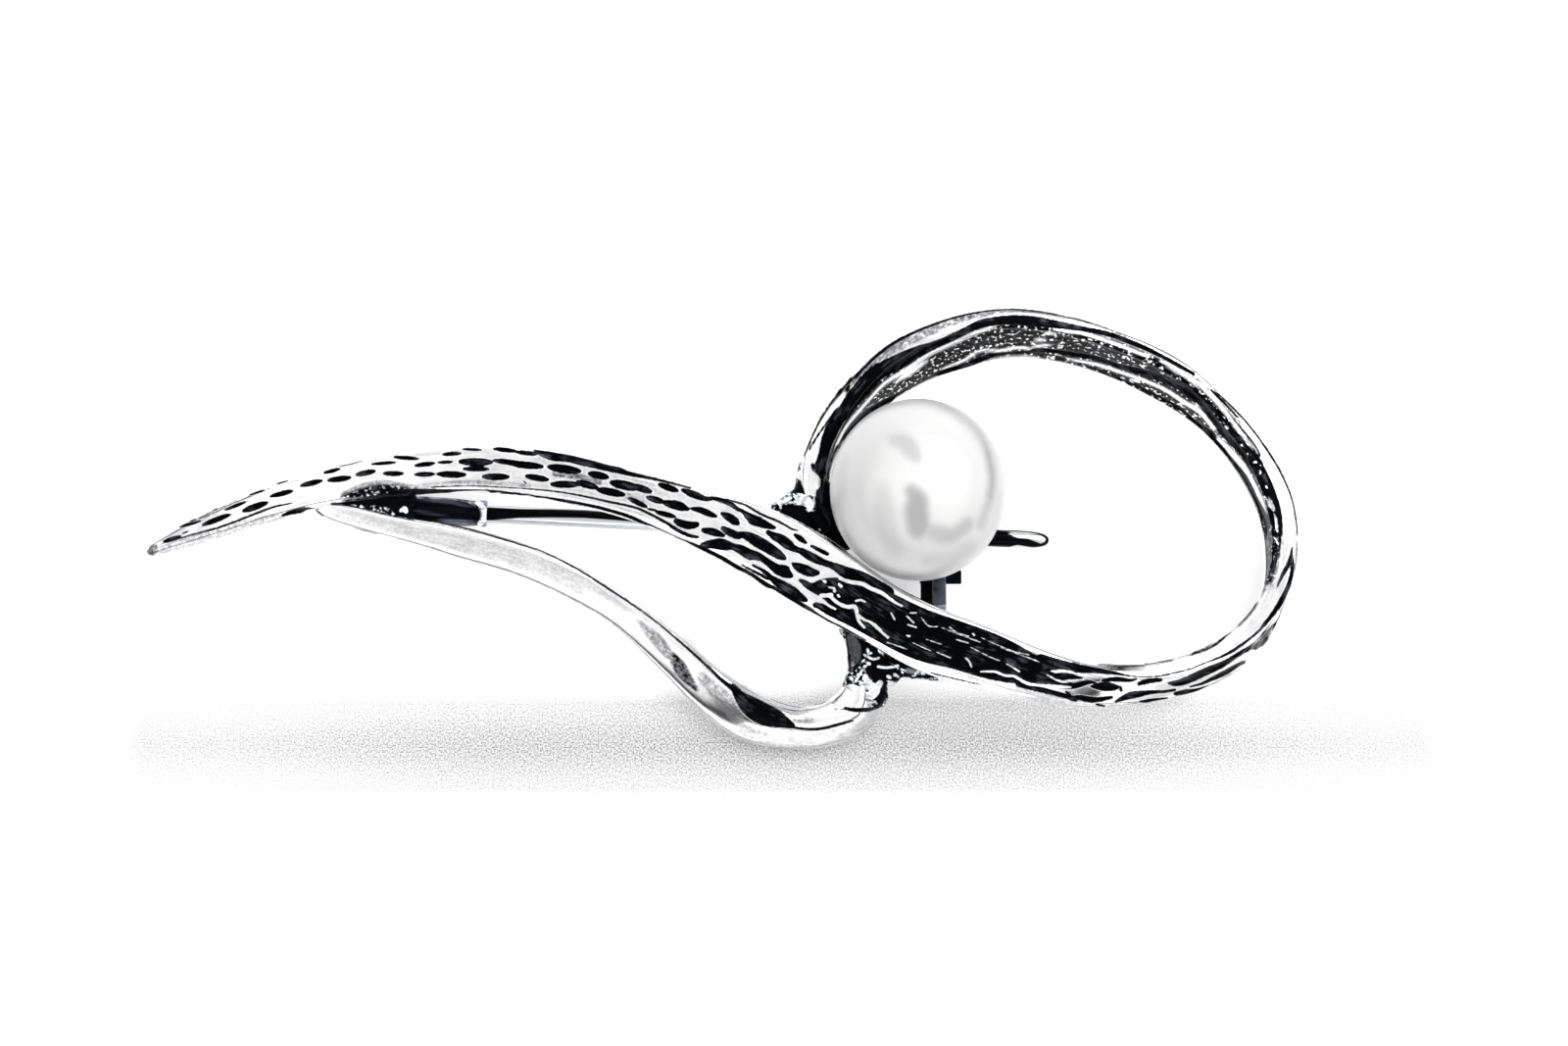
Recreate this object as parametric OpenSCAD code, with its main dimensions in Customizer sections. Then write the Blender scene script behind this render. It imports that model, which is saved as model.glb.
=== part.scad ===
// Pearl brooch: one ribbon of cast silver that runs from a pointed tail under the pearl, rolls on its edge round an
// open loop, passes behind itself and comes back as a smooth strand. It lies on its back, front up.

/* [Band] */
// Width of the ribbon where it is broadest, beside the pearl
band_w = 4.1; // [3.7:0.1:4.4]
// Thickness of the ribbon where it is thickest
band_t = 1.5; // [1.3:0.05:1.7]
// Depth of the channel between the raised rims of the front face
channel_depth = 0.24; // [0:0.02:0.3]
// Depth of the hollow in the back face round the loop
hollow_depth = 0.2; // [0:0.02:0.3]

/* [Pearl] */
// Diameter of the pearl
pearl_d = 10; // [9:0.5:10]
// Height of the pearl's centre above the pin wire's axis
pearl_rise = 5.75; // [5.6:0.05:6.5]
// Diameter of the cup that the pearl sits in
cup_d = 3.2; // [2.4:0.2:3.4]
// Diameter of the peg that the pearl is glued on
peg_d = 0.9; // [0.7:0.1:1.2]
// Length of the peg inside the pearl
peg_l = 4; // [2:0.5:5]

/* [Pin] */
// Diameter of the pin wire
stem_d = 1; // [0.9:0.05:1]
// Length of the pin wire from the rivet to its point
stem_l = 35.2; // [34:0.2:36]
// Length of the plain stretch in front of the point, which a point guard slides on
guard_l = 2.6; // [2:0.1:3]
// Length of the rounded taper at the point
point_l = 2.4; // [1.5:0.1:2.6]
// Diameter of the hinge rivet
rivet_d = 0.4; // [0.3:0.05:0.4]
// Radial play of the wire's eye on the rivet
eye_play = 0.03; // [0.02:0.01:0.06]
// Gap between the pin wire and the hinge or the catch
pin_gap = 0.1; // [0.08:0.01:0.14]
// Wall of the hinge sleeve
sleeve_wall = 0.22; // [0.2:0.02:0.3]
// Length of the hinge sleeve with its collar
sleeve_l = 5.4; // [5:0.1:5.8]

/* [Hidden] */

silver = [0.78, 0.78, 0.77];
nacre = [0.93, 0.92, 0.9];
steel = [0.66, 0.67, 0.69];

// Sections of the ribbon in the order that it runs. Columns: x, y, z of the middle of the section, width as a share of
// band_w, thickness as a share of band_t, roll in degrees about the run, depth share of the front channel, and depth
// share of the back hollow. Roll 0 has the front face up, 90 stands the ribbon on its edge with the front outwards.
lash = [
  [-32.3, -1.35, 0.60, 0.15, 0.42, -30, 0.0, 0.0],
  [-30.0, -0.40, 1.05, 0.30, 0.60, -32, 0.1, 0.0],
  [-27.3,  0.65, 1.60, 0.42, 0.72, -33, 0.2, 0.0],
  [-24.9,  1.50, 2.00, 0.46, 0.78, -33, 0.3, 0.0],
  [-22.3,  2.25, 2.35, 0.50, 0.80, -28, 0.4, 0.0],
  [-19.0,  2.90, 2.65, 0.56, 0.82, -20, 0.5, 0.1],
  [-14.2,  3.30, 3.00, 0.61, 0.84, -10, 0.6, 0.2],
  [ -9.8,  3.00, 3.45, 0.66, 0.86,   0, 0.7, 0.3],
  [ -5.2,  1.95, 3.85, 0.68, 0.88,   0, 0.8, 0.4],
  [ -2.1,  0.90, 4.10, 0.75, 0.90,   0, 0.9, 0.5],
  [  1.0, -0.25, 4.30, 0.93, 0.93,   0, 1.0, 0.5],
  [  3.7, -1.55, 4.45, 1.00, 0.96,   0, 1.0, 0.5],
  [  6.4, -3.20, 4.55, 0.97, 0.98,   0, 1.0, 0.5],
  [  9.0, -4.85, 4.55, 0.89, 1.00,   2, 1.0, 0.5],
  [ 11.6, -6.20, 4.40, 0.91, 1.00,   6, 1.0, 0.5],
  [ 14.6, -7.25, 4.10, 0.88, 1.00,  12, 1.0, 0.5],
  [ 17.8, -8.15, 3.65, 0.77, 0.95,  25, 0.9, 0.6],
  [ 21.0, -8.70, 3.05, 0.69, 0.88,  42, 0.8, 0.7],
  [ 23.9, -8.65, 2.50, 0.66, 0.84,  58, 0.7, 0.8],
  [ 26.7, -7.95, 2.05, 0.69, 0.85,  68, 0.6, 0.9],
  [ 29.0, -6.60, 1.75, 0.71, 0.90,  75, 0.6, 1.0],
  [ 30.7, -4.50, 1.60, 0.73, 0.97,  84, 0.6, 1.0],
  [ 31.4, -1.80, 1.55, 0.74, 1.00,  95, 0.5, 1.0],
  [ 31.2,  1.00, 1.55, 0.73, 1.00, 101, 0.5, 1.0],
  [ 30.1,  3.75, 1.65, 0.72, 1.00, 108, 0.5, 1.0],
  [ 28.1,  6.40, 1.95, 0.71, 0.92, 113, 0.4, 1.0],
  [ 25.2,  8.65, 2.40, 0.71, 0.92, 120, 0.4, 1.0],
  [ 21.9, 10.00, 2.90, 0.70, 0.88, 120, 0.4, 1.0],
  [ 18.9, 10.70, 3.30, 0.71, 0.92, 121, 0.4, 1.0],
  [ 16.1, 11.00, 3.60, 0.72, 0.97, 124, 0.4, 1.0],
  [ 13.3, 10.55, 3.80, 0.74, 1.00, 127, 0.3, 1.0],
  [ 10.7,  9.55, 3.85, 0.74, 1.00, 125, 0.3, 1.0],
  [  8.4,  7.95, 3.75, 0.73, 1.00, 118, 0.3, 1.0],
  [  6.4,  5.85, 3.40, 0.71, 1.00, 102, 0.2, 0.9],
  [  5.2,  3.50, 3.05, 0.66, 0.98,  97, 0.1, 0.7],
  [  5.3,  1.00, 3.00, 0.46, 0.90,  97, 0.0, 0.2],
  [  5.8, -1.00, 2.90, 0.42, 0.76,  97, 0.0, 0.0],
  [  6.3, -2.40, 2.80, 0.24, 0.40,  97, 0.0, 0.0]
];
// The same columns for the smooth strand, from behind the pearl's strand round the bend and back to the tail.
strand = [
  [  5.4,  0.20, 2.95, 0.22, 0.38,  98, 0.0, 0.0],
  [  6.1, -2.00, 2.80, 0.42, 0.72,  98, 0.0, 0.0],
  [  6.9, -4.60, 2.40, 0.58, 0.84,  99, 0.0, 0.0],
  [  7.8, -7.80, 1.95, 0.66, 0.80, 106, 0.0, 0.0],
  [  7.5,-10.00, 1.65, 0.68, 0.80, 118, 0.0, 0.0],
  [  6.1,-11.00, 1.50, 0.66, 0.80, 124, 0.0, 0.0],
  [  4.1,-11.20, 1.42, 0.63, 0.78, 127, 0.0, 0.0],
  [  1.5,-10.55, 1.50, 0.68, 0.78, 135, 0.0, 0.0],
  [ -0.9, -8.85, 1.80, 0.62, 0.76, 145, 0.0, 0.0],
  [ -2.9, -6.95, 2.10, 0.54, 0.74, 150, 0.0, 0.0],
  [ -5.5, -4.75, 2.45, 0.46, 0.70, 156, 0.0, 0.0],
  [ -8.1, -3.20, 2.70, 0.45, 0.66, 160, 0.0, 0.0],
  [-11.3, -1.78, 2.80, 0.44, 0.64, 163, 0.0, 0.0],
  [-14.7, -0.80, 2.72, 0.41, 0.62, 165, 0.0, 0.0],
  [-18.0,  0.00, 2.60, 0.33, 0.62, 165, 0.0, 0.0],
  [-20.4,  0.60, 2.50, 0.31, 0.62, 160, 0.0, 0.0],
  [-22.0,  1.02, 2.40, 0.26, 0.54, 155, 0.0, 0.0],
  [-22.6,  1.22, 2.36, 0.14, 0.28, 155, 0.0, 0.0]
];
steps = 3;
sides = 16;
squareness = 0.5;

up = [0, 0, 1];
tiny = 0.01;
round_fn = 48;

// Curve through the rows
function blend(a, b, c, d, u) =
  0.5 * (2 * b + (c - a) * u + (2 * a - 5 * b + 4 * c - d) * u * u + (3 * b - a - 3 * c + d) * u * u * u);
function row(t, i) = t[max(0, min(len(t) - 1, i))];
function stations(t) = concat(
  [for (i = [0 : len(t) - 2]) for (k = [0 : steps - 1])
    blend(i > 0 ? row(t, i - 1) : 2 * row(t, 0) - row(t, 1), row(t, i), row(t, i + 1), row(t, i + 2), k / steps)],
  [row(t, len(t) - 1)]);
function place(s) = [s[0], s[1], s[2]];
function unit(v) = v / norm(v);
function run_at(list, i) = unit(place(row(list, i + 1)) - place(row(list, i - 1)));

// One section, a rounded oblong with a channel in front and a hollow behind, as points across and out
function power(v) = sign(v) * pow(abs(v), squareness);
function outline_point(s, angle) =
  let (a = power(cos(angle)), b = power(sin(angle)), sink = b > 0 ? s[6] * channel_depth : s[7] * hollow_depth)
  [a * s[3] * band_w / 2, b * s[4] * band_t / 2 - b * (1 - a * a) * sink];
function ring(list, i) =
  let (s = list[i], run = run_at(list, i), side = unit(cross(up, run)), face = cross(run, side),
    across = side * cos(s[5]) + face * sin(s[5]), out = face * cos(s[5]) - side * sin(s[5]))
  [for (k = [0 : sides - 1]) let (p = outline_point(s, 360 * k / sides)) place(s) + across * p[0] + out * p[1]];
function rings(t) = let (list = stations(t)) [for (i = [0 : len(list) - 1]) ring(list, i)];
function flat_list(lists) = [for (a = lists) for (b = a) b];

lash_rings = rings(lash);
strand_rings = rings(strand);
all_points = concat(flat_list(lash_rings), flat_list(strand_rings));
low = [for (axis = [0 : 2]) min([for (p = all_points) p[axis]])];
high = [for (axis = [0 : 2]) max([for (p = all_points) p[axis]])];
// Moves the drawing so that the origin is under the middle of the box, on the surface that the brooch lies on
to_origin = [-(low[0] + high[0]) / 2, -(low[1] + high[1]) / 2, -low[2]];

// Pin line: from the rivet to the point, in the plane of the back
rivet_at = [-16.8, 0.98, 1.3];
stem_slope = -2.7;
pearl_at = [10.92, 2.15, rivet_at[2] + pearl_rise];
bar_z = rivet_at[2] + stem_d / 2 + pin_gap;
fork_x = 28.1;
channel_r = stem_d / 2 + pin_gap;
sleeve_r = channel_r + sleeve_wall;
eye_r = 0.54;
eye_t = 0.66;

module sweep(list) {
  count = len(list);
  last = (count - 1) * sides;
  walls = [for (i = [0 : count - 2]) for (k = [0 : sides - 1]) let (n = (k + 1) % sides, a = i * sides, b = a + sides)
    each [[a + k, b + n, a + n], [a + k, b + k, b + n]]];
  ends = [[for (k = [0 : sides - 1]) k], [for (k = [sides - 1 : -1 : 0]) last + k]];
  polyhedron(flat_list(list), concat(walls, ends));
}

// Everything that follows the pin line is drawn along +X from the rivet
module on_pin_line() {
  translate(rivet_at) rotate([0, 0, stem_slope]) children();
}

module along_x(r, l) {
  rotate([0, 90, 0]) cylinder(r = r, h = l, $fn = round_fn);
}

module taper_x(r1, r2, l) {
  rotate([0, 90, 0]) cylinder(r1 = r1, r2 = r2, h = l, $fn = round_fn);
}

module along_y(r, l) {
  rotate([90, 0, 0]) cylinder(r = r, h = l, center = true, $fn = round_fn);
}

// Drops of solder, each row x, y, z and radius
module drops(list) {
  for (d = list) translate([d[0], d[1], d[2]]) sphere(r = d[3], $fn = 12);
}

// Fillet where the loop comes down on the pearl's strand
module upper_joint() {
  hull() drops([[4.9, 3.0, 3.1, 0.85], [4.4, 1.9, 3.4, 0.6]]);
  hull() drops([[4.4, 1.9, 3.4, 0.6], [2.9, 1.2, 3.9, 0.4], [5.4, 0.6, 3.5, 0.7]]);
}

// Rough pool where the smooth strand comes out below the pearl's strand
module lower_joint() {
  core = [8.1, -7.6, 2.7, 0.9];
  grains = [[7.1, -5.2, 3.2, 0.7], [8.9, -6.4, 3.6, 0.7], [10.3, -7.9, 3.6, 0.55], [9.3, -8.2, 3.0, 0.7],
    [8.6, -9.4, 2.4, 0.75], [7.4, -8.8, 2.6, 0.72]];
  for (g = grains) hull() drops([core, g]);
}

// Web between the two strands that the hinge sleeve is soldered under
module web() {
  translate([0, 0, 2.0]) linear_extrude(0.5)
    polygon([[-22, 1.5], [-19.5, 2.7], [-17.6, 2.7], [-17.3, 1.2], [-17.6, -0.3], [-20, 0.5]]);
}

module sleeve() {
  nose_l = 1.1;
  tail_l = 0.75;
  collar_l = 0.5;
  collar_r = sleeve_r + 0.1;
  skirt = 0.66;
  slot_w = 2 * channel_r + 0.02;
  on_pin_line() difference() {
    union() {
      translate([-tail_l, 0, 0]) along_x(sleeve_r, sleeve_l - nose_l - collar_l / 2);
      translate([-tail_l - nose_l, 0, 0]) taper_x(0.35, sleeve_r, nose_l);
      translate([sleeve_l - nose_l - tail_l - collar_l, 0, 0]) along_x(collar_r, collar_l);
    }
    translate([-tail_l, 0, 0]) along_x(channel_r, sleeve_l);
    translate([-tail_l, -slot_w / 2, -2]) cube([sleeve_l, slot_w, 2]);
    translate([-5, -5, -10 - skirt]) cube([10, 10, 10]);
    along_y(rivet_d / 2 + tiny, 4);
  }
}

// Two bars side by side that rise from the back of the pearl's strand, pass over the pin wire and carry the cup
module bracket() {
  bar_t = 0.55;
  foot_z = 3.6;
  difference() {
    bars(bar_t, foot_z);
    pearl_room();
  }
}

module pearl_room() {
  translate(pearl_at) sphere(d = pearl_d + 0.06, $fn = 72);
}

module bars(bar_t, foot_z) {
  for (bar = [[11.1, 0.66, 0.0], [11.74, 0.8, 0.1]])
    translate([bar[0], 0, bar[2]]) rotate([90, 0, 90]) linear_extrude(bar[1])
      polygon([[-6.6, foot_z], [-4.6, foot_z], [-2.9, bar_z], [2.4, bar_z], [2.4, bar_z + bar_t],
        [-2.5, bar_z + bar_t], [-4.3, foot_z + bar_t + 0.2], [-6.6, foot_z + bar_t + 0.2]]);
  translate([11.05, -3.13, bar_z + 0.05]) cube([2.35, 0.78, bar_t + 0.2]);
}

module cup() {
  base = bar_z - 0.04;
  seat = pearl_at[2] - pearl_d / 2;
  difference() {
    translate([pearl_at[0], pearl_at[1], base]) cylinder(d = cup_d, h = 0.75, $fn = round_fn);
    pearl_room();
  }
  translate([pearl_at[0], pearl_at[1], base + 0.07]) cylinder(d = peg_d, h = seat - base + peg_l, $fn = 24);
}

// Fork that the pin wire clips into, open towards the back
module catch_fork() {
  prong = 0.4;
  reach = 0.75;
  fork_l = 1.3;
  gap = stem_d + 2 * pin_gap;
  on_pin_line() translate([fork_x, 0, 0]) difference() {
    translate([0, -gap / 2 - prong, -reach]) cube([fork_l, gap + 2 * prong, reach + stem_d / 2 + pin_gap + 0.3]);
    translate([-1, -gap / 2, -reach - 1]) cube([fork_l + 2, gap, reach + stem_d / 2 + pin_gap + 1.03]);
  }
}

module silver_band() {
  color(silver) translate(to_origin) {
    sweep(lash_rings);
    sweep(strand_rings);
    upper_joint();
    lower_joint();
    web();
    sleeve();
    bracket();
    cup();
    catch_fork();
  }
}

module pearl() {
  glue_gap = 0.04;
  color(nacre) translate(to_origin + pearl_at) difference() {
    sphere(d = pearl_d, $fn = 96);
    translate([0, 0, -pearl_d]) cylinder(d = peg_d + 2 * glue_gap, h = pearl_d / 2 + peg_l + 0.1, $fn = 32);
  }
}

module pin_stem() {
  neck_l = 0.7;
  guard_r = stem_d / 2 - 0.03;
  point_r = 0.3;
  shaft_l = stem_l - point_l - guard_l - neck_l;
  color(steel) translate(to_origin) on_pin_line() difference() {
    union() {
      intersection() {
        sphere(r = eye_r, $fn = round_fn);
        cube([4, eye_t, 4], center = true);
      }
      translate([0.1, 0, 0]) along_x(stem_d / 2, shaft_l - 0.1);
      translate([shaft_l, 0, 0]) taper_x(stem_d / 2, guard_r, neck_l);
      translate([shaft_l + neck_l, 0, 0]) along_x(guard_r, guard_l);
      translate([stem_l - point_l, 0, 0]) taper_x(guard_r, point_r, point_l - point_r);
      translate([stem_l - point_r, 0, 0]) sphere(r = point_r, $fn = round_fn);
    }
    along_y(rivet_d / 2 + eye_play, 4);
  }
}

module hinge_rivet() {
  color(steel) translate(to_origin) on_pin_line() along_y(rivet_d / 2, 2 * sleeve_r);
}

silver_band();
pearl();
pin_stem();
hinge_rivet();
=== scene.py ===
import math
import bpy, bmesh
from mathutils import Matrix, Vector


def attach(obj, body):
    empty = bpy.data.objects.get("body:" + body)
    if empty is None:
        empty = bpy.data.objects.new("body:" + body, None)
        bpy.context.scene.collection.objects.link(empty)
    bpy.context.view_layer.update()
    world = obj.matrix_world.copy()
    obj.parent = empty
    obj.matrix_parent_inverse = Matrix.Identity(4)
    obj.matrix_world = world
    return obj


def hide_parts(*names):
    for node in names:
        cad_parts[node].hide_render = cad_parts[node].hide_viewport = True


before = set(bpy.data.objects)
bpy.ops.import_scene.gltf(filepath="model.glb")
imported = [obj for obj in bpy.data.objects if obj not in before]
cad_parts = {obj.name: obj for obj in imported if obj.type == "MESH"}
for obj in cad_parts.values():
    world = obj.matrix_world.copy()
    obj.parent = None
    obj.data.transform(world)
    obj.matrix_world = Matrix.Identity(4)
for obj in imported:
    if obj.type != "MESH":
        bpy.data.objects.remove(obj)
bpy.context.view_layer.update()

mm = 0.001
perMm = 1000.0                                       # turns metres into mm
toOrigin = Vector((0.126832, 0.0416356, -0.038833))  # mm, from the drawing's origin to the brooch's own
pinSlope = -2.7                                      # degrees, the pin's slant in the plane of the back
markEdge = {"From Min": -0.03, "From Max": 0.02}     # mm inside a mark's rim, from nothing to full

# Settings that many nodes share
smooth = {"interpolation_type": "SMOOTHSTEP"}
colourMix = {"out": 2, "data_type": "RGBA"}
floatKind = {"data_type": "FLOAT"}
vectorKind = {"data_type": "FLOAT_VECTOR"}
onPoints = {**vectorKind, "domain": "POINT"}


# sRGB hex to the linear colour that a shader wants
def linearColour(hexCode):
    parts = [int(hexCode[i:i + 2], 16) / 255 for i in (1, 3, 5)]
    return [p / 12.92 if p <= 0.04045 else ((p + 0.055) / 1.055) ** 2.4 for p in parts] + [1.0]


# Adds one node. feeds are its inputs, by order or by name: values, hex colours or other nodes' sockets.
# A map range takes, in order, its value, the two ends it comes from and the two that it goes to
def addNode(tree, kind, feeds=(), out=0, **settings):
    node = tree.nodes.new(kind)
    for name, value in settings.items():
        setattr(node, name, value)
    for socket, value in (feeds.items() if isinstance(feeds, dict) else enumerate(feeds)):
        if isinstance(value, bpy.types.NodeSocket):
            tree.links.new(value, node.inputs[socket])
        elif value is not None:
            isHex = isinstance(value, str) and value.startswith("#")
            node.inputs[socket].default_value = linearColour(value) if isHex else value
    return node.outputs[out] if node.outputs else node


# An empty tree with its inputs, and those inputs' sockets by name
def newTree(name, inputs):
    tree = bpy.data.node_groups.new(name, "GeometryNodeTree")
    tree.interface.new_socket("Geometry", in_out="INPUT", socket_type="NodeSocketGeometry")
    for label, kind in inputs.items():
        tree.interface.new_socket(label, in_out="INPUT", socket_type="NodeSocket" + kind)
    tree.interface.new_socket("Geometry", in_out="OUTPUT", socket_type="NodeSocketGeometry")
    return tree, {socket.name: socket for socket in tree.nodes.new("NodeGroupInput").outputs}


def link(obj):
    bpy.context.scene.collection.objects.link(obj)
    return obj


def meshPiece(name, verts, faces=(), edges=()):
    mesh = bpy.data.meshes.new(name)
    mesh.from_pydata([tuple(v) for v in verts], edges, faces)
    mesh.update()
    return link(bpy.data.objects.new(name, mesh))


# Works a piece's modifiers into a plain mesh
def settle(piece):
    view = bpy.context.evaluated_depsgraph_get()
    mesh = bpy.data.meshes.new_from_object(piece.evaluated_get(view), depsgraph=view)
    bare = piece.data
    piece.modifiers.clear()
    piece.data = mesh
    bpy.data.meshes.remove(bare)
    mesh.name = piece.name


# Runs a tree on a piece, with the tree's inputs by name
def runTree(piece, tree, values):
    modifier = piece.modifiers.new("tree", "NODES")
    modifier.node_group = tree
    for item in tree.interface.items_tree:
        if item.in_out == "INPUT" and item.name in values:
            modifier[item.identifier] = values[item.name]
    settle(piece)


def newMaterial(name):
    material = bpy.data.materials.new(name)
    material.use_nodes = True
    material.node_tree.nodes.clear()
    return material, material.node_tree


# What the charts wrote on a piece: the tone of its greys, then its depth in mm in bright and in black marks
def inkedParts(tree):
    inked = addNode(tree, "ShaderNodeAttribute", out="Vector", attribute_name="inked")
    return addNode(tree, "ShaderNodeSeparateXYZ", [inked]).node.outputs


# Puts the charts over a piece's oxide: greys take it off, black marks cover, bright marks stay bare. Besides
# wear and oxide, the charts hold painted shade, highlights and dark reflections
def inkOver(tree, dark, greyLift):
    tone, bright, black = inkedParts(tree)
    black = addNode(tree, "ShaderNodeMapRange", {"Value": black, **markEdge}, **smooth)
    dark = addNode(tree, "ShaderNodeMath", [dark, black], operation="MAXIMUM")
    kept = addNode(tree, "ShaderNodeMath", [tone, -greyLift], operation="MULTIPLY")
    kept = addNode(tree, "ShaderNodeMath", [kept, 1.0], operation="ADD", use_clamp=True)
    dark = addNode(tree, "ShaderNodeMath", [dark, kept], operation="MULTIPLY")
    covered = {"Value": bright, **markEdge, "To Min": 1.0, "To Max": 0.0}
    bright = addNode(tree, "ShaderNodeMapRange", covered, **smooth)
    return addNode(tree, "ShaderNodeMath", [dark, bright], operation="MULTIPLY")


# The end of every metal: its shader, with a bump whose depth is in mm
def endMetal(tree, colour, rough, height, strength, depth):
    bump = addNode(tree, "ShaderNodeBump", {"Strength": strength, "Distance": depth * mm, "Height": height})
    shader = addNode(tree, "ShaderNodeBsdfPrincipled", {
        "Base Color": colour, "Metallic": 1.0, "Roughness": rough, "Normal": bump})
    addNode(tree, "ShaderNodeOutputMaterial", [shader])


silverLook = {
    "metal": "#FAFAFA",        # sterling silver, buffed
    "worn": "#E6E6E8",         # between the buff's streaks
    "skinAndPaintedShade": "#86868A",         # thin oxide between the dents, also the colour of the painted shade and grey reflections that the grey charts lay on
    "oxideAndPaintedDark": "#060709",        # liver of sulphur black, and the black of the painted shade and dark reflections
    "thinOxideAndPaintedDark": "#34363C",    # where it is thinner, a little blue; the painted dark marks take it as well
    "polishRoughness": 0.13,
    "skinRoughness": 0.3,
    "oxideRoughness": 0.42,
    "raggedness": 0.08,        # mm, how far the grain shifts a mark's rim
    "scratchHeight": 0.05,     # shares of the bump
    "beadHeight": 2.0,
    "bump": (0.5, 0.06),       # strength, depth in mm
    # Columns: size across the band in mm, how many times as long it is along it, detail, roughness
    "noises": {
        "streaks": (0.16, 6.25, 3.0, 0.6),      # of the buff
        "scratches": (0.09, 20, 2.0, 0.5),      # its finest lines
        "grain": (0.22, 1, 4.0, 0.65),          # the cast skin left in the hollows
        "stipple": (0.23, 1, 1.5, 0.5),         # the beads of the hollow behind
        "patches": (0.9, 1, 2.0, 0.5),          # of grey skin
        "blotches": (1.1, 1, 2.0, 0.5),         # where the streaks come and go
    },
}


# Cast sterling silver, blackened with liver of sulphur and buffed: mirror on what stands proud, soot in
# what lies deep. The charts also lay on it painted shade, grey reflections and dark reflections
def makeOxidisedSilver(name, look):
    material, tree = newMaterial(name)
    place = addNode(tree, "ShaderNodeAttribute", out="Vector", attribute_name="bandPlace")
    marks = addNode(tree, "ShaderNodeAttribute", out="Vector", attribute_name="bandMarks")
    greySkin, castSkin, mark = addNode(tree, "ShaderNodeSeparateXYZ", [marks]).node.outputs
    # the tone of the grey charts: painted shade and grey reflections
    paintedShadeTone = inkedParts(tree)[0]
    noises = []
    for size, longer, detail, roughness in look["noises"].values():
        spot = addNode(tree, "ShaderNodeMapping", {"Vector": place, "Scale": (1 / longer, 1.0, 1.0)})
        noises.append(addNode(tree, "ShaderNodeTexNoise", {
            "Vector": spot, "Scale": 1 / size, "Detail": detail, "Roughness": roughness}))
    streaks, scratches, grain, stipple, patches, blotches = noises

    # marks are black from the rim inwards, and the grain breaks their rim up a little
    ragged = addNode(tree, "ShaderNodeMath", [grain, -0.5], operation="ADD")
    ragged = addNode(tree, "ShaderNodeMath", [ragged, look["raggedness"], mark], operation="MULTIPLY_ADD")
    markMask = addNode(tree, "ShaderNodeMapRange", [ragged, -0.035, 0.02], **smooth)
    # the hollow behind keeps its cast skin: black pits between bright beads
    pits = addNode(tree, "ShaderNodeMapRange", [stipple, 0.67, 0.56], **smooth)
    pits = addNode(tree, "ShaderNodeMath", [pits, castSkin], operation="MULTIPLY")
    dark = addNode(tree, "ShaderNodeMath", [markMask, pits], operation="MAXIMUM")

    # between the dents the buff left a thin grey skin in patches, and the charts lay painted shade and grey
    # reflections on in the same colour
    patches = addNode(tree, "ShaderNodeMapRange", [patches, 0.3, 0.6, 0.5, 1.0])
    nearMark = addNode(tree, "ShaderNodeMapRange", [mark, -0.16, -0.07, 1.0, 0.25])
    grey = addNode(tree, "ShaderNodeMath", [greySkin, patches], operation="MULTIPLY")
    grey = addNode(tree, "ShaderNodeMath", [grey, nearMark], operation="MULTIPLY")
    cloudy = addNode(tree, "ShaderNodeMapRange", [streaks, 0.3, 0.7, 0.75, 1.2])
    grey = addNode(tree, "ShaderNodeMath", [paintedShadeTone, cloudy, grey], operation="MULTIPLY_ADD")
    smoky = addNode(tree, "ShaderNodeMapRange", [grain, 0.35, 0.65, 0.45, 1.5])
    grey = addNode(tree, "ShaderNodeMath", [grey, smoky], operation="MULTIPLY")
    deepGrey = addNode(tree, "ShaderNodeMapRange", [grey, 1.0, 2.0])

    streaks = addNode(tree, "ShaderNodeMath", [streaks, blotches], operation="MULTIPLY")
    buffed = addNode(tree, "ShaderNodeMapRange", [streaks, 0.2, 0.36])
    metal = addNode(tree, "ShaderNodeMix", {0: buffed, 6: look["metal"], 7: look["worn"]}, **colourMix)
    metal = addNode(tree, "ShaderNodeMix", {0: grey, 6: metal, 7: look["skinAndPaintedShade"]}, **colourMix)
    metal = addNode(tree, "ShaderNodeMix", {0: deepGrey, 6: metal, 7: look["oxideAndPaintedDark"]}, **colourMix)
    blackAndPaintedDark = addNode(tree, "ShaderNodeMapRange", [streaks, 0.26, 0.38], **smooth)
    blackAndPaintedDark = addNode(tree, "ShaderNodeMix", {0: blackAndPaintedDark, 6: look["oxideAndPaintedDark"], 7: look["thinOxideAndPaintedDark"]}, **colourMix)
    colour = addNode(tree, "ShaderNodeMix", {0: dark, 6: metal, 7: blackAndPaintedDark}, **colourMix)
    rough = [grey, 0.0, 1.0, look["polishRoughness"], look["skinRoughness"]]
    rough = addNode(tree, "ShaderNodeMapRange", rough)
    rough = addNode(tree, "ShaderNodeMix", [dark, None, rough, look["oxideRoughness"]], **floatKind)
    height = addNode(tree, "ShaderNodeMath", [grain, dark], operation="MULTIPLY")
    height = addNode(tree, "ShaderNodeMath", [scratches, look["scratchHeight"], height],
                     operation="MULTIPLY_ADD")
    beads = addNode(tree, "ShaderNodeMath", [stipple, castSkin], operation="MULTIPLY")
    height = addNode(tree, "ShaderNodeMath", [beads, look["beadHeight"], height], operation="MULTIPLY_ADD")
    endMetal(tree, colour, rough, height, *look["bump"])
    return material


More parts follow.
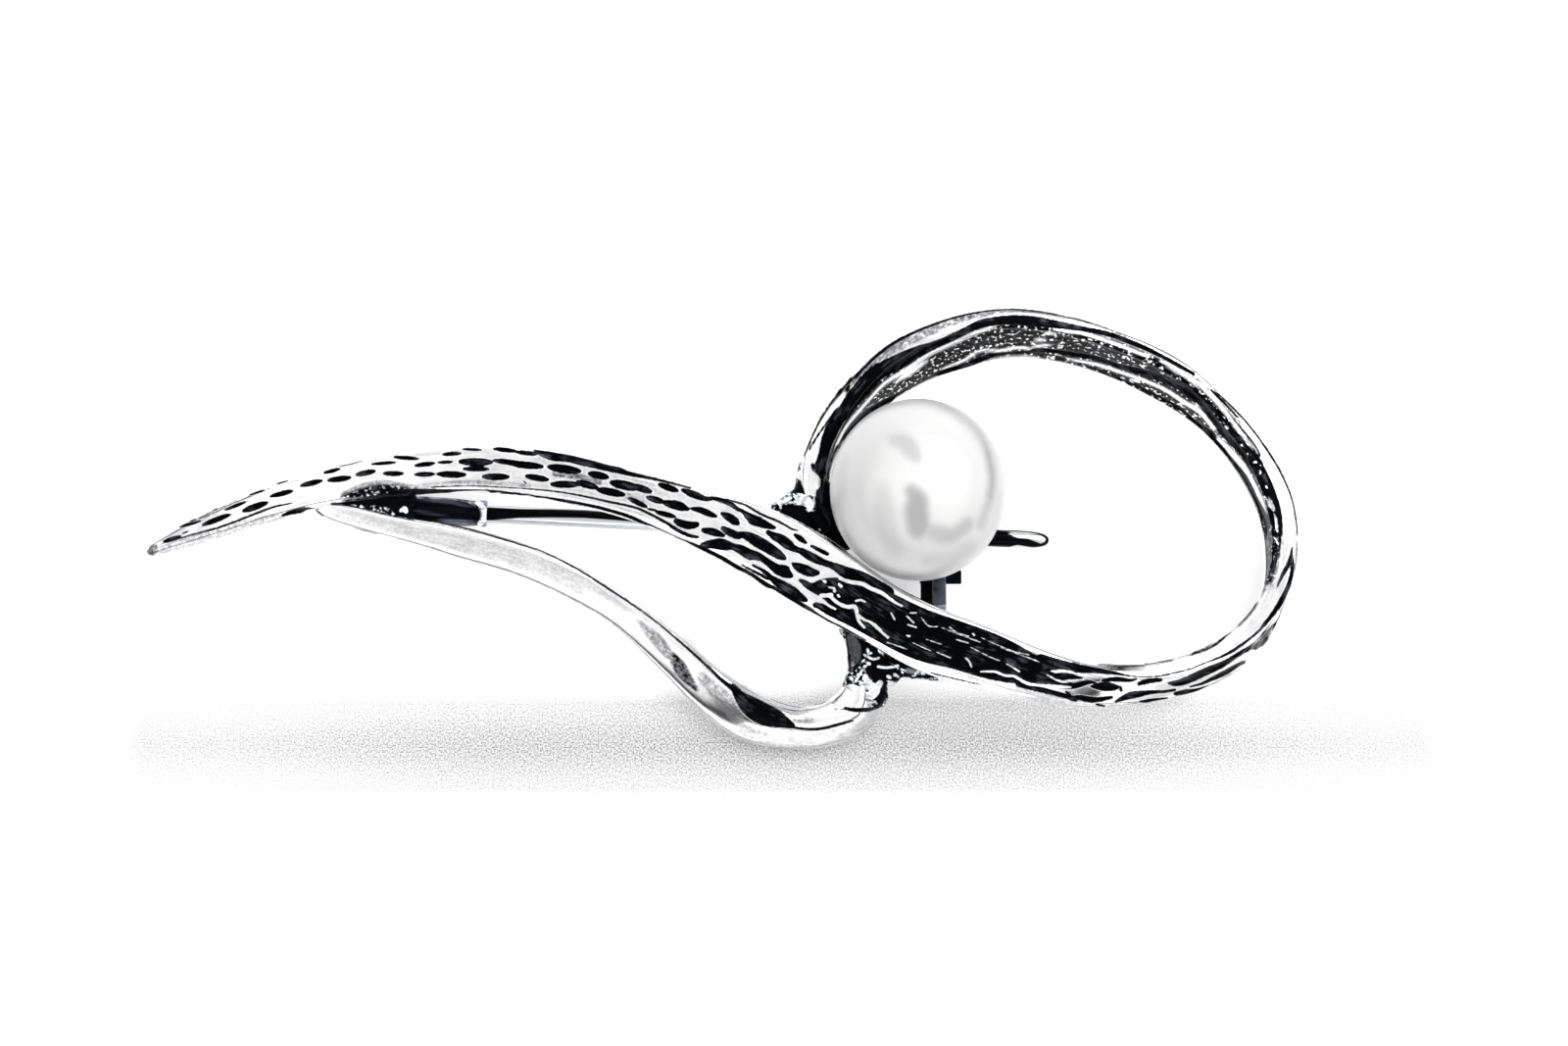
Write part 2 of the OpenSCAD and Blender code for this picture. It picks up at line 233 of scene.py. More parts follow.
# Silver solder left as it flowed and blackened: gritty, bright on its crests and in the charts' bright marks,
# which on the loop's joint are painted highlights
solderLook = {
    "metal": "#E0E7EB",
    "rubbedAndHighlight": "#E0E7EB",       # in the bright marks, which on the loop's joint are painted highlights
    "oxideAndPaintedDark": "#08090C",
    "noise": (0.25, 4.0, 0.6), # size of the pool's grit in mm, detail, roughness
    "crests": (0.47, 0.54, 0.3, -0.25),
    "darkFrom": (0.34, 0.5),
    "greyLift": 0.75,         # share of the oxide that a full grey mark takes off
    "roughness": (0.24, 0.5),  # bare, oxidised
    "bump": (0.6, 0.1),        # strength, depth in mm
}
# Sheet and tube of the findings, blackened with the rest and hardly buffed: blue grey, darker in its corners
fittingLook = {
    "metal": "#7A7F90",
    "rubbedAndHighlight": "#F2F3F4",       # where handling keeps it bare, and in the painted highlights on the sleeve
    "oxideAndPaintedDark": "#0B0C11",
    "noise": (0.8, 3.0, 0.55), # size of a rubbed patch in mm
    "crests": (0.47, 0.56, 0.12, -0.35),
    "darkFrom": (0.32, 0.56),
    "greyLift": 0.7,
    "roughness": (0.18, 0.38),
    "bump": (0.3, 0.03),
}


# Blackened silver, dark by its noise and in its corners, and bare along its crests, with the charts' marks
# over it, some of them painted shade and highlights
def makeBlackened(name, look):
    material, tree = newMaterial(name)
    size, detail, roughness = look["noise"]
    place = addNode(tree, "ShaderNodeTexCoord", out="Object")
    grain = addNode(tree, "ShaderNodeTexNoise", {
        "Vector": place, "Scale": 1 / (size * mm), "Detail": detail, "Roughness": roughness})
    crest = addNode(tree, "ShaderNodeNewGeometry", out="Pointiness")
    crest = addNode(tree, "ShaderNodeMapRange", [crest, *look["crests"]])
    dark = addNode(tree, "ShaderNodeMath", [crest, grain], operation="ADD")
    dark = addNode(tree, "ShaderNodeMapRange", [dark, *look["darkFrom"]], **smooth)
    dark = inkOver(tree, dark, look["greyLift"])
    bright = addNode(tree, "ShaderNodeMapRange", {"Value": inkedParts(tree)[1], **markEdge}, **smooth)
    metal = addNode(tree, "ShaderNodeMix", {0: bright, 6: look["metal"], 7: look["rubbedAndHighlight"]}, **colourMix)
    colour = addNode(tree, "ShaderNodeMix", {0: dark, 6: metal, 7: look["oxideAndPaintedDark"]}, **colourMix)
    rough = addNode(tree, "ShaderNodeMapRange", [dark, 0.0, 1.0, *look["roughness"]])
    endMetal(tree, colour, rough, grain, *look["bump"])
    return material


wireLook = {
    "steel": "#C6C8CC",
    # painted dark reflections along the wire and on its tip
    "blackAndPaintedDark": "#0A0A0C",
    "paintedShade": "#8C8E92",         # painted shade on the wire's lower side
    "drawLine": 0.05,          # mm between the drawing die's lines
    "lineLength": 50,          # times that
    "roughness": (0.12, 0.26),
    "bump": (0.25, 0.01),      # strength, depth in mm
}


# Hard drawn wire, polished: straight fine lines along it and a clean mirror across, with painted dark
# reflections and painted shade from the charts
def makePinWire(name, look):
    material, tree = newMaterial(name)
    place = addNode(tree, "ShaderNodeTexCoord", out="Object")
    lines = addNode(tree, "ShaderNodeMapping", {
        "Vector": place, "Rotation": (0, 0, math.radians(-pinSlope)),
        "Scale": (1 / look["lineLength"], 1.0, 1.0)})
    lines = addNode(tree, "ShaderNodeTexNoise", {
        "Vector": lines, "Scale": 1 / (look["drawLine"] * mm), "Detail": 2.0})
    rough = addNode(tree, "ShaderNodeMapRange", [lines, 0.0, 1.0, *look["roughness"]])
    paintedDark = inkOver(tree, 0.0, 0.0)
    paintedShade = inkedParts(tree)[0]
    steel = addNode(tree, "ShaderNodeMix", {0: paintedShade, 6: look["steel"], 7: look["paintedShade"]}, **colourMix)
    colour = addNode(tree, "ShaderNodeMix", {0: paintedDark, 6: steel, 7: look["blackAndPaintedDark"]}, **colourMix)
    endMetal(tree, colour, rough, lines, *look["bump"])
    return material


nacreLook = {
    "body": "#C2C2C2",
    "rimShade": "#949496",         # painted shade towards its rim
    "overtone": "#CFCECD",
    "paintedShadeAndReflection": "#7E7E80",        # painted shade on its rims and painted grey reflections
    "cloudSize": 3.5,          # mm across a patch of overtone
    "roughness": 0.34,
    "glowDepths": (1.2, 1.0, 0.9),  # mm that red, green and blue light goes in
}


# Cultured pearl, nacre laid in films: a soft glow, a wet gloss over it and a faint pink and grey cast; its
# rim is darkened as painted shade, and the charts lay painted shade and grey reflections on it
def makeNacre(name, look):
    material, tree = newMaterial(name)
    place = addNode(tree, "ShaderNodeTexCoord", out="Object")
    clouds = addNode(tree, "ShaderNodeTexNoise", {
        "Vector": place, "Scale": 1 / (look["cloudSize"] * mm), "Detail": 2.0})
    cast = addNode(tree, "ShaderNodeMix", {0: clouds, 6: look["body"], 7: look["overtone"]}, **colourMix)
    # painted shade: darker towards the rim, where the surface turns away from the view
    edge = addNode(tree, "ShaderNodeLayerWeight", {"Blend": 0.35}, out="Facing")
    colour = addNode(tree, "ShaderNodeMix", {0: edge, 6: cast, 7: look["rimShade"]}, **colourMix)
    paintedShadeAndReflection = inkedParts(tree)[0]
    colour = addNode(tree, "ShaderNodeMix", {0: paintedShadeAndReflection, 6: colour, 7: look["paintedShadeAndReflection"]}, **colourMix)
    shader = addNode(tree, "ShaderNodeBsdfPrincipled", {
        "Base Color": colour, "Roughness": look["roughness"], "IOR": 1.53, "Subsurface Weight": 0.25,
        "Subsurface Radius": [depth * mm for depth in look["glowDepths"]], "Subsurface Scale": 1.0,
        "Coat Weight": 0.6, "Coat Roughness": 0.34, "Coat IOR": 1.6, "Sheen Weight": 0.1})
    addNode(tree, "ShaderNodeOutputMaterial", [shader])
    return material


oxidisedSilver = makeOxidisedSilver("oxidised_cast_silver", silverLook)
fittingSilver = makeBlackened("blackened_fitting_silver", fittingLook)
solderSilver = makeBlackened("blackened_solder", solderLook)
pinWire = makePinWire("drawn_pin_wire", wireLook)
nacre = makeNacre("pearl_nacre", nacreLook)
print("materials ready")

# The ribbon. Columns: x, y, z of the section's middle in mm, width share, thickness share, roll in degrees,
# front channel share, back hollow share, grey skin left between the dents
ribbon = {
    "width": 4.1,              # mm where it is broadest
    "thickness": 1.5,          # mm where it is thickest
    "channelDepth": 0.26,      # mm
    "hollowDepth": 0.22,       # mm
    "rimFrom": 0.66,           # share of the half width where a rim starts to rise
    "rimTo": 0.93,
    "squareness": 0.5,         # 1 gives an oval section, 0 an oblong
    "pointsRound": 128,
    "frontPoints": 0.7,        # share of the points round that lie on the front
    "rings": 760,
    "denseRings": 0.84,        # share of the rings on the dented stretch
    "denseLength": 0.56,       # share of the length that it takes
    "smoothing": 26,           # passes that even out the path
    "markDepth": 0.13,         # mm
    "markSlope": 0.12,         # mm from a mark's rim to its floor
    "waves": 0.05,             # mm, how unevenly the buff left the faces
    "inkSoftness": 0.04,       # mm, at the edge of a grey
    "rows": [
        (-32.40, -1.38, 0.60, 0.12, 0.34, -30, 0.0, 0.0, 0),
        (-29.98, -0.33, 1.05, 0.32, 0.65, -32, 0.1, 0.0, 0),
        (-27.31, 0.69, 1.60, 0.43, 0.73, -33, 0.2, 0.0, 0),
        (-24.94, 1.57, 2.00, 0.50, 0.84, -33, 0.3, 0.0, 0),
        (-22.30, 2.25, 2.35, 0.50, 0.80, -28, 0.4, 0.0, 0),
        (-19.00, 2.90, 2.65, 0.56, 0.82, -20, 0.5, 0.1, 0),
        (-14.16, 3.31, 3.00, 0.62, 0.85, -10, 0.6, 0.2, 0.1),
        (-9.79, 3.00, 3.45, 0.66, 0.87, 0, 0.7, 0.3, 0.3),
        (-5.20, 1.90, 3.85, 0.66, 0.85, 0, 0.8, 0.4, 0.5),
        (-2.07, 0.88, 4.10, 0.74, 0.89, 0, 0.9, 0.5, 0.15), (0.96, -0.25, 4.30, 0.92, 0.91, 0, 1.0, 0.5, 0),
        (3.62, -1.57, 4.45, 1.03, 0.95, 0, 1.0, 0.5, 0), (6.32, -3.22, 4.55, 0.96, 0.97, 0, 1.0, 0.5, 0),
        (9.07, -4.89, 4.55, 0.86, 0.97, 2, 1.0, 0.5, 0), (11.55, -6.21, 4.40, 0.92, 1.01, 6, 1.0, 0.5, 0),
        (14.65, -7.23, 4.10, 0.89, 1.01, 12, 1.0, 0.5, 0),
        (17.82, -8.17, 3.65, 0.78, 0.96, 25, 0.9, 0.6, 0),
        (21.01, -8.77, 3.05, 0.72, 0.92, 42, 0.8, 0.7, 0),
        (23.89, -8.68, 2.50, 0.70, 0.89, 58, 0.7, 0.8, 0),
        (26.73, -8.00, 2.05, 0.69, 1.14, 68, 0.6, 0.9, 0),
        (29.11, -6.65, 1.75, 0.71, 1.25, 75, 0.6, 1.0, 0),
        (30.72, -4.57, 1.60, 0.73, 1.17, 84, 0.6, 1.0, 0),
        (31.43, -1.85, 1.60, 0.74, 1.23, 95, 0.5, 1.0, 0),
        (31.15, 1.03, 1.63, 0.73, 1.33, 101, 0.5, 1.0, 0),
        (29.97, 3.61, 1.65, 0.72, 1.31, 108, 0.5, 1.0, 0),
        (27.91, 6.11, 1.95, 0.71, 1.08, 113, 0.4, 1.0, 0),
        (25.12, 8.38, 2.40, 0.87, 1.13, 120, 0.4, 1.0, 0),
        (21.88, 9.86, 2.90, 0.84, 1.06, 120, 0.4, 1.0, 0),
        (18.84, 10.72, 3.30, 0.84, 1.09, 121, 0.4, 1.0, 0),
        (16.09, 11.01, 3.60, 0.86, 1.16, 124, 0.4, 1.0, 0),
        (13.26, 10.50, 3.80, 0.89, 1.20, 127, 0.3, 1.0, 0),
        (10.67, 9.57, 3.85, 0.89, 1.21, 125, 0.3, 1.0, 0), (8.36, 7.91, 3.75, 0.85, 1.16, 118, 0.3, 1.0, 0),
        (6.35, 5.94, 3.40, 0.71, 1.18, 102, 0.2, 0.9, 0), (5.22, 3.58, 3.05, 0.66, 1.20, 97, 0.1, 0.7, 0),
        (5.30, 1.00, 3.00, 0.46, 0.90, 97, 0.0, 0.2, 0), (5.80, -1.00, 2.90, 0.42, 0.76, 97, 0.0, 0.0, 0),
        (6.30, -2.40, 2.80, 0.24, 0.40, 97, 0.0, 0.0, 0)],
}
# The smooth strand, with the same columns
smoothStrand = {
    **ribbon,
    "pointsRound": 72,
    "rings": 300,
    "denseRings": 0.5,
    "denseLength": 0.5,
    "squareness": 0.6,
    "frontPoints": 0.5,
    "markDepth": 0.04,
    "waves": 0.03,
    "rows": [
        (5.40, 0.20, 2.95, 0.22, 0.38, 98, 0.0, 0.0, 0), (6.10, -2.00, 2.80, 0.42, 0.72, 98, 0.0, 0.0, 0),
        (6.90, -4.60, 2.40, 0.58, 0.84, 99, 0.0, 0.0, 0), (7.80, -7.80, 1.95, 0.66, 0.80, 106, 0.0, 0.0, 0),
        (7.48, -10.04, 1.65, 0.74, 1.50, 118, 0.0, 0.0, 0),
        (6.05, -10.97, 1.54, 0.71, 1.17, 124, 0.0, 0.0, 0),
        (4.10, -11.22, 1.47, 0.70, 1.03, 127, 0.0, 0.0, 0),
        (1.46, -10.56, 1.54, 0.83, 0.95, 135, 0.0, 0.0, 0),
        (-0.88, -8.83, 1.80, 0.68, 0.83, 145, 0.0, 0.0, 0),
        (-2.89, -6.93, 2.10, 0.59, 0.81, 150, 0.0, 0.0, 0),
        (-5.50, -4.73, 2.45, 0.48, 0.74, 156, 0.0, 0.0, 0),
        (-8.06, -3.19, 2.70, 0.47, 0.69, 160, 0.0, 0.0, 0),
        (-11.30, -1.76, 2.80, 0.45, 0.65, 163, 0.0, 0.0, 0),
        (-14.68, -0.80, 2.72, 0.43, 0.65, 165, 0.0, 0.0, 0),
        (-18.00, 0.00, 2.60, 0.33, 0.62, 165, 0.0, 0.0, 0),
        (-20.40, 0.60, 2.50, 0.31, 0.62, 160, 0.0, 0.0, 0),
        (-21.80, 0.95, 2.42, 0.27, 0.56, 155, 0.0, 0.0, 0),
        (-22.90, 1.30, 2.36, 0.16, 0.36, 155, 0.0, 0.0, 0)],
}
inMm = ("channelDepth", "hollowDepth", "markDepth", "markSlope", "waves")
sweepInputs = {
    "rings": "Int", "pointsRound": "Int", "frontPoints": "Float",
    "denseRings": "Float", "denseLength": "Float",
    "smoothing": "Int", "squareness": "Float", "channelDepth": "Float", "hollowDepth": "Float",
    "rimFrom": "Float", "rimTo": "Float", "markDepth": "Float", "markSlope": "Float", "waves": "Float",
    "blackMarks": "Object", "brightMarks": "Object", "castMarks": "Object", "material": "Material"}
# What the sweeps of both share
sweep = {
    "pathPoints": 520,
    "easedEnds": 0.02,         # share of the path at each end where the evening out fades
    "sectionPoints": 160,
    "flatness": 0.4,           # of the section while its points are spread evenly round it
    "endRound": 0.4,           # mm
    "markReach": 0.5,          # mm from a mark, past which no more is said
    "castEdge": (-0.15, 0.1),  # mm inside a stroke of cast skin, from nothing to full
    "crestEdge": (-0.06, 0.02),  # mm inside a bright crest, from all to none of the cast skin
    "waveSize": 1.3,           # mm
}
# How charts are read
reading = {
    "curvePoints": 8,          # between two points of a stroke
    "step": 0.03,              # mm along it
    "lift": 2.0,               # mm off the floor for the thinnest stroke
    "slope": 0.1,              # how far up a face has to look to take a mark in full
    "farOff": -1.0,            # mm, as deep as is written for what lies outside a mark
}


# The path as a bare line of points that carry the section's sizes
def pathStart(name, sizes):
    rows = sizes["rows"]
    points = [(Vector(r[:3]) + toOrigin) * mm for r in rows]
    start = meshPiece(name, points, edges=[(i, i + 1) for i in range(len(rows) - 1)])
    section = start.data.attributes.new("section", "FLOAT_VECTOR", "POINT")
    relief = start.data.attributes.new("relief", "FLOAT_VECTOR", "POINT")
    for i, r in enumerate(rows):
        section.data[i].vector = (
            r[3] * sizes["width"] * mm, r[4] * sizes["thickness"] * mm, math.radians(r[5]))
        relief.data[i].vector = r[6:9]
    return start


# How deep each point lies inside the nearest stroke of a chart, seen from above, and the stroke's tone
def strokeDepth(tree, chart, plan):
    strokes = addNode(tree, "GeometryNodeObjectInfo", {"Object": chart}, out="Geometry")
    strokes = addNode(tree, "GeometryNodeMeshToCurve", [strokes])
    strokes = addNode(tree, "GeometryNodeCurveSplineType", [strokes], spline_type="CATMULL_ROM")
    strokes = addNode(tree, "GeometryNodeSetSplineResolution", {
        "Geometry": strokes, "Resolution": reading["curvePoints"]})
    strokes = addNode(tree, "GeometryNodeCurveToPoints", {
        "Curve": strokes, "Length": reading["step"] * mm}, mode="LENGTH")
    # thin strokes are lifted off the floor, so that where two overlap the wide one is the nearest
    half = addNode(tree, "GeometryNodeInputNamedAttribute", {"Name": "half"}, **floatKind)
    lift = addNode(tree, "ShaderNodeMath", [half, half], operation="MULTIPLY")
    lift = addNode(tree, "ShaderNodeMath", [(reading["lift"] * mm) ** 2, lift], operation="SUBTRACT")
    lift = addNode(tree, "ShaderNodeMath", [lift], operation="SQRT")
    lift = addNode(tree, "ShaderNodeCombineXYZ", [0.0, 0.0, lift])
    strokes = addNode(tree, "GeometryNodeSetPosition", {"Geometry": strokes, "Offset": lift})
    nearest = addNode(tree, "GeometryNodeSampleNearest", {"Geometry": strokes, "Sample Position": plan})
    spot = addNode(tree, "GeometryNodeInputPosition")
    spot = addNode(tree, "ShaderNodeVectorMath", [spot, (1.0, 1.0, 0.0)], operation="MULTIPLY")
    spot = addNode(tree, "GeometryNodeSampleIndex", {
        "Geometry": strokes, "Value": spot, "Index": nearest}, **vectorKind)
    found = []
    for label in ("half", "tone"):
        value = addNode(tree, "GeometryNodeInputNamedAttribute", {"Name": label}, **floatKind)
        found.append(addNode(tree, "GeometryNodeSampleIndex", {
            "Geometry": strokes, "Value": value, "Index": nearest}, **floatKind))
    gap = addNode(tree, "ShaderNodeVectorMath", [spot, plan], out="Value", operation="DISTANCE")
    return addNode(tree, "ShaderNodeMath", [found[0], gap], operation="SUBTRACT"), found[1]


# A point's place in plan, and whether the camera above sees it
def planAndSeen(tree):
    spot = addNode(tree, "GeometryNodeInputPosition")
    plan = addNode(tree, "ShaderNodeVectorMath", [spot, (1.0, 1.0, 0.0)], operation="MULTIPLY")
    upright = addNode(tree, "ShaderNodeSeparateXYZ", [addNode(tree, "GeometryNodeInputNormal")], out=2)
    return plan, addNode(tree, "ShaderNodeMapRange", [upright, 0.0, reading["slope"], 0.0, 1.0])


# Writes what three charts say on a piece into its attribute inked: the tone of its greys, and how deep
# bright and black marks reach, in mm
def makeInkTree():
    tree, given = newTree("inkedPiece", {
        "blackMarks": "Object", "brightMarks": "Object", "greyMarks": "Object", "softness": "Float"})
    plan, seen = planAndSeen(tree)
    depths = []
    for label in ("brightMarks", "blackMarks"):
        depth, _ = strokeDepth(tree, given[label], plan)
        depth = addNode(tree, "ShaderNodeMath", [depth, perMm], operation="MULTIPLY")
        depth = addNode(tree, "ShaderNodeMath", [depth, reading["farOff"]], operation="MAXIMUM")
        depths.append(addNode(tree, "ShaderNodeMix", [seen, None, reading["farOff"], depth], **floatKind))
    depth, tone = strokeDepth(tree, given["greyMarks"], plan)
    under = addNode(tree, "ShaderNodeMath", [given["softness"], -1.0], operation="MULTIPLY")
    soft = addNode(tree, "ShaderNodeMapRange", [depth, under, given["softness"], 0.0, 1.0], **smooth)
    soft = addNode(tree, "ShaderNodeMath", [soft, tone], operation="MULTIPLY")
    soft = addNode(tree, "ShaderNodeMath", [soft, seen], operation="MULTIPLY")
    inked = addNode(tree, "ShaderNodeCombineXYZ", [soft, *depths])
    body = addNode(tree, "GeometryNodeStoreNamedAttribute", {
        "Geometry": given["Geometry"], "Name": "inked", "Value": inked}, **onPoints)
    addNode(tree, "NodeGroupOutput", [addNode(tree, "GeometryNodeRealizeInstances", [body])])
    return tree


inkTree = makeInkTree()


# Sweeps the rounded oblong along the path, sinks the channel and the hollow, and presses the marks in
def makeSweepTree():
    tree, given = newTree("sweptRibbon", sweepInputs)

    # path, evened out all but its ends
    path = addNode(tree, "GeometryNodeMeshToCurve", [given["Geometry"]])
    path = addNode(tree, "GeometryNodeCurveSplineType", [path], spline_type="CATMULL_ROM")
    path = addNode(tree, "GeometryNodeResampleCurve", {"Curve": path, "Count": sweep["pathPoints"]},
                   mode="COUNT")
    share = addNode(tree, "GeometryNodeSplineParameter")
    fromEnd = addNode(tree, "ShaderNodeMath", [1.0, share], operation="SUBTRACT")
    fromEnd = addNode(tree, "ShaderNodeMath", [fromEnd, share], operation="MINIMUM")
    ease = addNode(tree, "ShaderNodeMapRange", [fromEnd, 0.0, sweep["easedEnds"], 0.0, 1.0])
    spot = addNode(tree, "GeometryNodeInputPosition")
    spot = addNode(tree, "GeometryNodeBlurAttribute", [spot, given["smoothing"], ease], **vectorKind)
    path = addNode(tree, "GeometryNodeSetPosition", {"Geometry": path, "Position": spot})
    for name in ("section", "relief"):
        rows = addNode(tree, "GeometryNodeInputNamedAttribute", {"Name": name}, **vectorKind)
        rows = addNode(tree, "GeometryNodeBlurAttribute", [rows, given["smoothing"], ease], **vectorKind)
        path = addNode(tree, "GeometryNodeStoreNamedAttribute", {
            "Geometry": path, "Name": name, "Value": rows}, **onPoints)
    length = addNode(tree, "GeometryNodeCurveLength", [path])

    # a tube of unit size, whose height tells how far along the path a point goes
    lengthwise = addNode(tree, "ShaderNodeMath", [given["rings"], 1.0], operation="SUBTRACT")
    tube = addNode(tree, "GeometryNodeMeshCylinder", {
        "Vertices": given["pointsRound"], "Side Segments": lengthwise, "Radius": 1.0, "Depth": 1.0},
        fill_type="NGON")
    unit = addNode(tree, "ShaderNodeSeparateXYZ", [addNode(tree, "GeometryNodeInputPosition")]).node.outputs
    up = addNode(tree, "ShaderNodeMath", [unit[2], 0.5], operation="ADD")
    restLength = addNode(tree, "ShaderNodeMath", [1.0, given["denseLength"]], operation="SUBTRACT")
    dense = addNode(tree, "ShaderNodeMapRange", [up, 0.0, given["denseRings"], 0.0, given["denseLength"]])
    rest = addNode(tree, "ShaderNodeMapRange", [up, given["denseRings"], 1.0, 0.0, restLength])
    along = addNode(tree, "ShaderNodeMath", [dense, rest], operation="ADD")
    sampled = []
    for name in ("section", "relief"):
        rows = addNode(tree, "GeometryNodeInputNamedAttribute", {"Name": name}, **vectorKind)
        rows = addNode(tree, "GeometryNodeSampleCurve", {"Curves": path, "Value": rows, "Factor": along},
                       mode="FACTOR", use_all_curves=True, **vectorKind)
        sampled.append(rows.node.outputs)
    (section, centre, run), relief = sampled[0][:3], sampled[1][0]
    width, thickness, roll = addNode(tree, "ShaderNodeSeparateXYZ", [section]).node.outputs
    channel, hollow, greySkin = addNode(tree, "ShaderNodeSeparateXYZ", [relief]).node.outputs

    # the section, as a closed curve read evenly round its front and round its back
    flat = sweep["flatness"]
    ring = addNode(tree, "GeometryNodeCurvePrimitiveCircle",
                   {"Resolution": sweep["sectionPoints"], "Radius": 1.0})
    spot = addNode(tree, "GeometryNodeInputPosition")
    sign = addNode(tree, "ShaderNodeVectorMath", [spot], operation="SIGN")
    size = addNode(tree, "ShaderNodeVectorMath", [spot], operation="ABSOLUTE")
    power = addNode(tree, "ShaderNodeCombineXYZ", [given["squareness"], given["squareness"], 1.0])
    size = addNode(tree, "ShaderNodeVectorMath", [size, power], operation="POWER")
    spot = addNode(tree, "ShaderNodeVectorMath", [sign, size], operation="MULTIPLY")
    spot = addNode(tree, "ShaderNodeVectorMath", [spot, (1.0, flat, 1.0)], operation="MULTIPLY")
    ring = addNode(tree, "GeometryNodeSetPosition", {"Geometry": ring, "Position": spot})
    turn = addNode(tree, "ShaderNodeMath", [unit[1], unit[0]], operation="ARCTAN2")
    turn = addNode(tree, "ShaderNodeMath", [turn, 2 * math.pi], operation="DIVIDE")
    turn = addNode(tree, "ShaderNodeMath", [turn], operation="FRACT")
    back = addNode(tree, "ShaderNodeMapRange", [turn, given["frontPoints"], 1.0, 0.0, 0.5])
    turn = addNode(tree, "ShaderNodeMapRange", [turn, 0.0, given["frontPoints"], 0.0, 0.5])
    turn = addNode(tree, "ShaderNodeMath", [turn, back], operation="ADD")
    profile = addNode(tree, "GeometryNodeSampleCurve", {"Curves": ring, "Factor": turn}, out=1,
                      mode="FACTOR", use_all_curves=True)
    profile = addNode(tree, "ShaderNodeVectorMath", [profile, (1.0, 1 / flat, 1.0)], operation="MULTIPLY")
    acrossShare, outShare, _ = addNode(tree, "ShaderNodeSeparateXYZ", [profile]).node.outputs

    # channel in front, hollow behind, both fading into the rims
    spread = addNode(tree, "ShaderNodeMath", [acrossShare], operation="ABSOLUTE")
    inner = addNode(tree, "ShaderNodeMapRange", [spread, given["rimFrom"], given["rimTo"], 1.0, 0.0],
                    **smooth)
    isFront = addNode(tree, "ShaderNodeMath", [outShare, 0.0], operation="GREATER_THAN")
    isBack = addNode(tree, "ShaderNodeMath", [1.0, isFront], operation="SUBTRACT")
    frontSink = addNode(tree, "ShaderNodeMath", [channel, given["channelDepth"]], operation="MULTIPLY")
    backSink = addNode(tree, "ShaderNodeMath", [hollow, given["hollowDepth"]], operation="MULTIPLY")
    sink = addNode(tree, "ShaderNodeMix", [isFront, None, backSink, frontSink], **floatKind)
    sink = addNode(tree, "ShaderNodeMath", [sink, inner], operation="MULTIPLY")
    halfThick = addNode(tree, "ShaderNodeMath", [thickness, 0.5], operation="MULTIPLY")
    halfThick = addNode(tree, "ShaderNodeMath", [halfThick, sink], operation="SUBTRACT")
    rise = addNode(tree, "ShaderNodeMath", [halfThick, outShare], operation="MULTIPLY")
    halfWide = addNode(tree, "ShaderNodeMath", [width, 0.5], operation="MULTIPLY")
    aside = addNode(tree, "ShaderNodeMath", [halfWide, acrossShare], operation="MULTIPLY")

    # rounded ends, then the place in space
    alongLength = addNode(tree, "ShaderNodeMath", [along, length], operation="MULTIPLY")
    fromEnd = addNode(tree, "ShaderNodeMath", [length, alongLength], operation="SUBTRACT")
    fromEnd = addNode(tree, "ShaderNodeMath", [fromEnd, alongLength], operation="MINIMUM")
    endShare = addNode(tree, "ShaderNodeMapRange", [fromEnd, 0.0, sweep["endRound"] * mm, 0.02, 1.0])
    endShare = addNode(tree, "ShaderNodeMath", [2.0, endShare], operation="SUBTRACT")
    endRest = addNode(tree, "ShaderNodeMath", [2.0, endShare], operation="SUBTRACT")
    endShare = addNode(tree, "ShaderNodeMath", [endShare, endRest], operation="MULTIPLY")
    endShare = addNode(tree, "ShaderNodeMath", [endShare], operation="SQRT")
    aside = addNode(tree, "ShaderNodeMath", [aside, endShare], operation="MULTIPLY")
    rise = addNode(tree, "ShaderNodeMath", [rise, endShare], operation="MULTIPLY")
    side = addNode(tree, "ShaderNodeVectorMath", [(0.0, 0.0, 1.0), run], operation="CROSS_PRODUCT")
    side = addNode(tree, "ShaderNodeVectorMath", [side], operation="NORMALIZE")
    across = addNode(tree, "ShaderNodeVectorRotate", {"Vector": side, "Axis": run, "Angle": roll},
                     rotation_type="AXIS_ANGLE")
    outward = addNode(tree, "ShaderNodeVectorMath", [run, across], operation="CROSS_PRODUCT")
    place = addNode(tree, "ShaderNodeVectorMath", {"Vector": across, "Scale": aside}, operation="SCALE")
    lift = addNode(tree, "ShaderNodeVectorMath", {"Vector": outward, "Scale": rise}, operation="SCALE")
    place = addNode(tree, "ShaderNodeVectorMath", [place, lift], operation="ADD")
    place = addNode(tree, "ShaderNodeVectorMath", [place, centre], operation="ADD")

